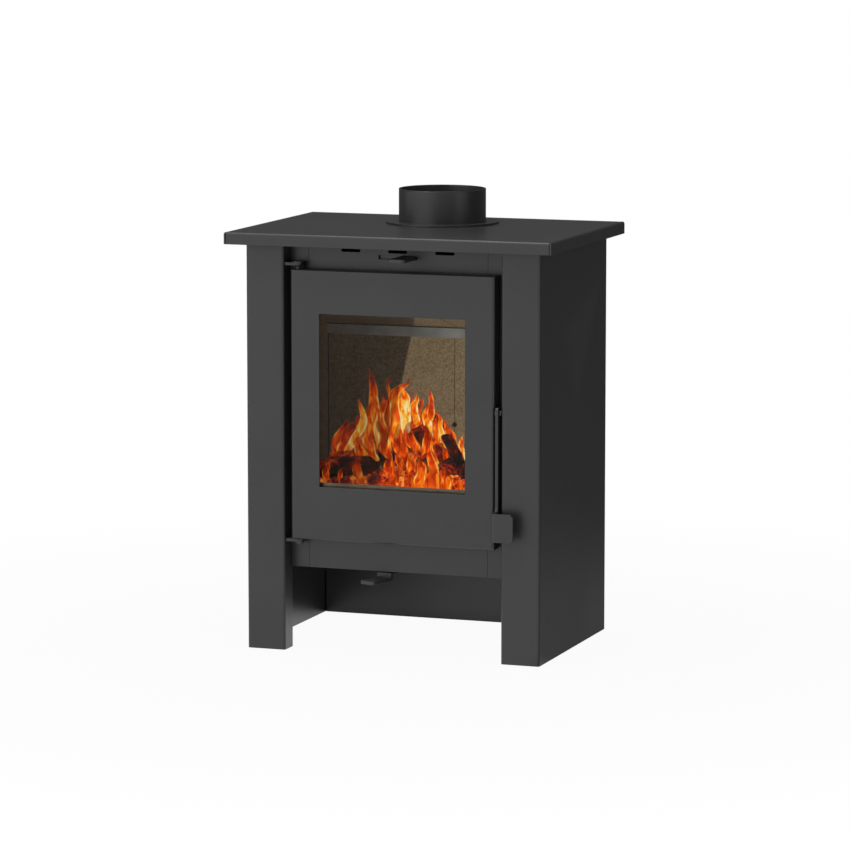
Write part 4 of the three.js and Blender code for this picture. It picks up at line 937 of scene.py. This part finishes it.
# A wide softbox in front on the left, a narrow one on the right, one overhead and one behind. Two
# small ones light the firebox: a weak wide one, and a narrow beam that leaves the left side dim.
key = addSoftbox("key_softbox", place=(-1.85, -2.45, 1.0), target=(0, -0.1, 0.45), size=(2.5, 2.0), watts=31)
addSoftbox("side_softbox", place=(2.3, -1.1, 1.0), target=(0, 0, 0.5), size=(0.8, 1.8), watts=2.6)
addSoftbox("top_softbox", place=(-0.2, -0.5, 3.6), target=(0, 0, 0.6), size=(3.0, 2.6), watts=84)
rear = addSoftbox("rear_softbox", place=(-1.7, 2.3, 1.4), target=(0, 0, 0.4), size=(2.0, 1.8), watts=14)
glow = addSoftbox("firebox_fill", place=(0.08, -0.122, 0.37), target=(-0.13, 0.1, 0.6), size=(0.24, 0.22),
                  watts=0.19, colour="#c8deff")
beamLook = {"rise": 0.45, "size": (0.30, 0.40), "before": 0.03, "below": 0.01, "watts": 0.18, "spread": 0.9,
            "colour": "#fffaf4"}
across = bandLook["across"]
way = Vector((-across.y - across.z * beamLook["rise"], 1.0, beamLook["rise"])).normalized()
edge = Vector((-across.z, 0.0, 1.0))
edge = (edge - edge.dot(way) * way).normalized()
right = way.cross(edge)
corner = bandLook["through"] - way * beamLook["before"] - edge * beamLook["below"]
beam = addSoftbox("firebox_beam", place=corner + right * beamLook["size"][0] / 2, target=(0, 0, 0),
                  size=beamLook["size"], watts=beamLook["watts"], colour=beamLook["colour"])
beam.rotation_euler = Matrix((right, edge, -way)).transposed().to_euler()
beam.data.spread = math.radians(beamLook["spread"])
for lamp in (key, rear, glow, beam):
    lamp.visible_glossy = False
for lamp in (glow, beam):
    lamp.visible_camera = False


# The floor is white to the camera. In the gloss it is bright in front of the stove, reaches "deeper"
# between its legs, and is dim beside and behind it, least so close to the stove.
floorLook = {"shade": "#b4b4b4", "size": 30, "under": 0.0005, "near": 0.45, "far": 1.7, "ownLightNear": 0.95}
glossLook = {"inside": 0.15, "outside": 0.28, "deeper": 0.38, "bright": -0.32, "dim": -0.08,
             "level": 1.08, "dimLevel": 0.09, "dimNear": 0.23}


def makeStudioPaper(name, look, gloss):
    material, tree, skin, place = startMaterial(name)
    spot = addNode(tree, "SeparateXYZ", {"Vector": place})
    away = addNode(tree, "VectorMath", {0: place}, operation="LENGTH").outputs["Value"]
    shift = addNode(tree, "MapRange", {"Value": spot.outputs["X"],
                                       "From Min": gloss["inside"], "From Max": gloss["outside"],
                                       "To Min": gloss["deeper"], "To Max": 0.0}, **eased)
    dim = addNode(tree, "MapRange", {"Value": away, "From Min": look["near"], "From Max": look["far"],
                                     "To Min": gloss["dimNear"], "To Max": gloss["dimLevel"]}, **eased)
    depth = addNode(tree, "Math", {0: spot.outputs["Y"], 1: shift}, operation="SUBTRACT")
    lit = addNode(tree, "MapRange", {"Value": depth, "From Min": gloss["bright"], "From Max": gloss["dim"],
                                     "To Min": gloss["level"], "To Max": dim}, **eased)
    own = addNode(tree, "MapRange", {"Value": away, "From Min": look["near"], "From Max": look["far"],
                                     "To Min": look["ownLightNear"]}, **eased)
    rays = addNode(tree, "LightPath")
    bright = addNode(tree, "Emission", {"Color": (1, 1, 1, 1), "Strength": 1.0})
    sheen = addNode(tree, "Emission", {"Color": (1, 1, 1, 1), "Strength": lit})
    share = addNode(tree, "Math", {0: rays.outputs["Is Camera Ray"], 1: own}, operation="MULTIPLY")
    plain = addNode(tree, "MixShader", {0: rays.outputs["Is Glossy Ray"], 1: skin, 2: sheen})
    paper = addNode(tree, "MixShader", {0: share, 1: plain, 2: bright})
    setInputs(tree, skin, {"Base Color": linear(look["shade"]), "Roughness": 1.0, "Specular IOR Level": 0.0})
    setInputs(tree, tree.nodes["Material Output"], {"Surface": paper})
    return material


sheet = bmesh.new()
bmesh.ops.create_grid(sheet, x_segments=1, y_segments=1, size=floorLook["size"])
floorData = bpy.data.meshes.new("floor")
sheet.to_mesh(floorData)
sheet.free()
floorData.materials.append(makeStudioPaper("white_studio_paper", floorLook, glossLook))
floor = bpy.data.objects.new("floor", floorData)
floor.location.z = -floorLook["under"]
scene.collection.objects.link(floor)


# In the gloss, the studio is white over one sector in front on the left and dim elsewhere, so
# that the paint shows soft bands on its curves and keeps its depth at low angles. The backdrop is
# white to the eye and through the glass, and "fill" is its light on what is not glossy.
studioLook = {"from": -57, "to": -12, "fade": 12, "level": 1.4, "dim": 0.1, "fill": 0.26}


def whiteSector(tree, coordinates, look):
    start, end, fade = (math.radians(look[name]) for name in ("from", "to", "fade"))
    split = addNode(tree, "SeparateXYZ", {"Vector": coordinates})
    forward = addNode(tree, "Math", {0: split.outputs["Y"], 1: -1.0}, operation="MULTIPLY")
    bearing = addNode(tree, "Math", {0: split.outputs["X"], 1: forward}, operation="ARCTAN2")
    rise = addNode(tree, "MapRange", {"Value": bearing, "From Min": start - fade, "From Max": start}, **eased)
    fall = addNode(tree, "MapRange", {"Value": bearing, "From Min": end, "From Max": end + fade,
                                      "To Min": 1.0, "To Max": 0.0}, **eased)
    both = addNode(tree, "Math", {0: rise, 1: fall}, operation="MULTIPLY")
    return addNode(tree, "MapRange", {"Value": both, "To Min": look["dim"], "To Max": look["level"]})


world = bpy.data.worlds.new("studio")
scene.world = world
world.use_nodes = True
tree = world.node_tree
rays = addNode(tree, "LightPath")
seen = addNode(tree, "Math", {0: rays.outputs["Is Camera Ray"], 1: rays.outputs["Is Transmission Ray"]},
               operation="MAXIMUM")
gloss = whiteSector(tree, addNode(tree, "TexCoord").outputs["Generated"], studioLook)
fill = addNode(tree, "Mix", {0: rays.outputs["Is Glossy Ray"], 2: studioLook["fill"], 3: gloss})
level = addNode(tree, "Mix", {0: seen, 2: fill, 3: 1.0})
setInputs(tree, tree.nodes["Background"], {"Color": (1, 1, 1, 1), "Strength": level})
scene.view_settings.view_transform = "Standard"
print("studio set")
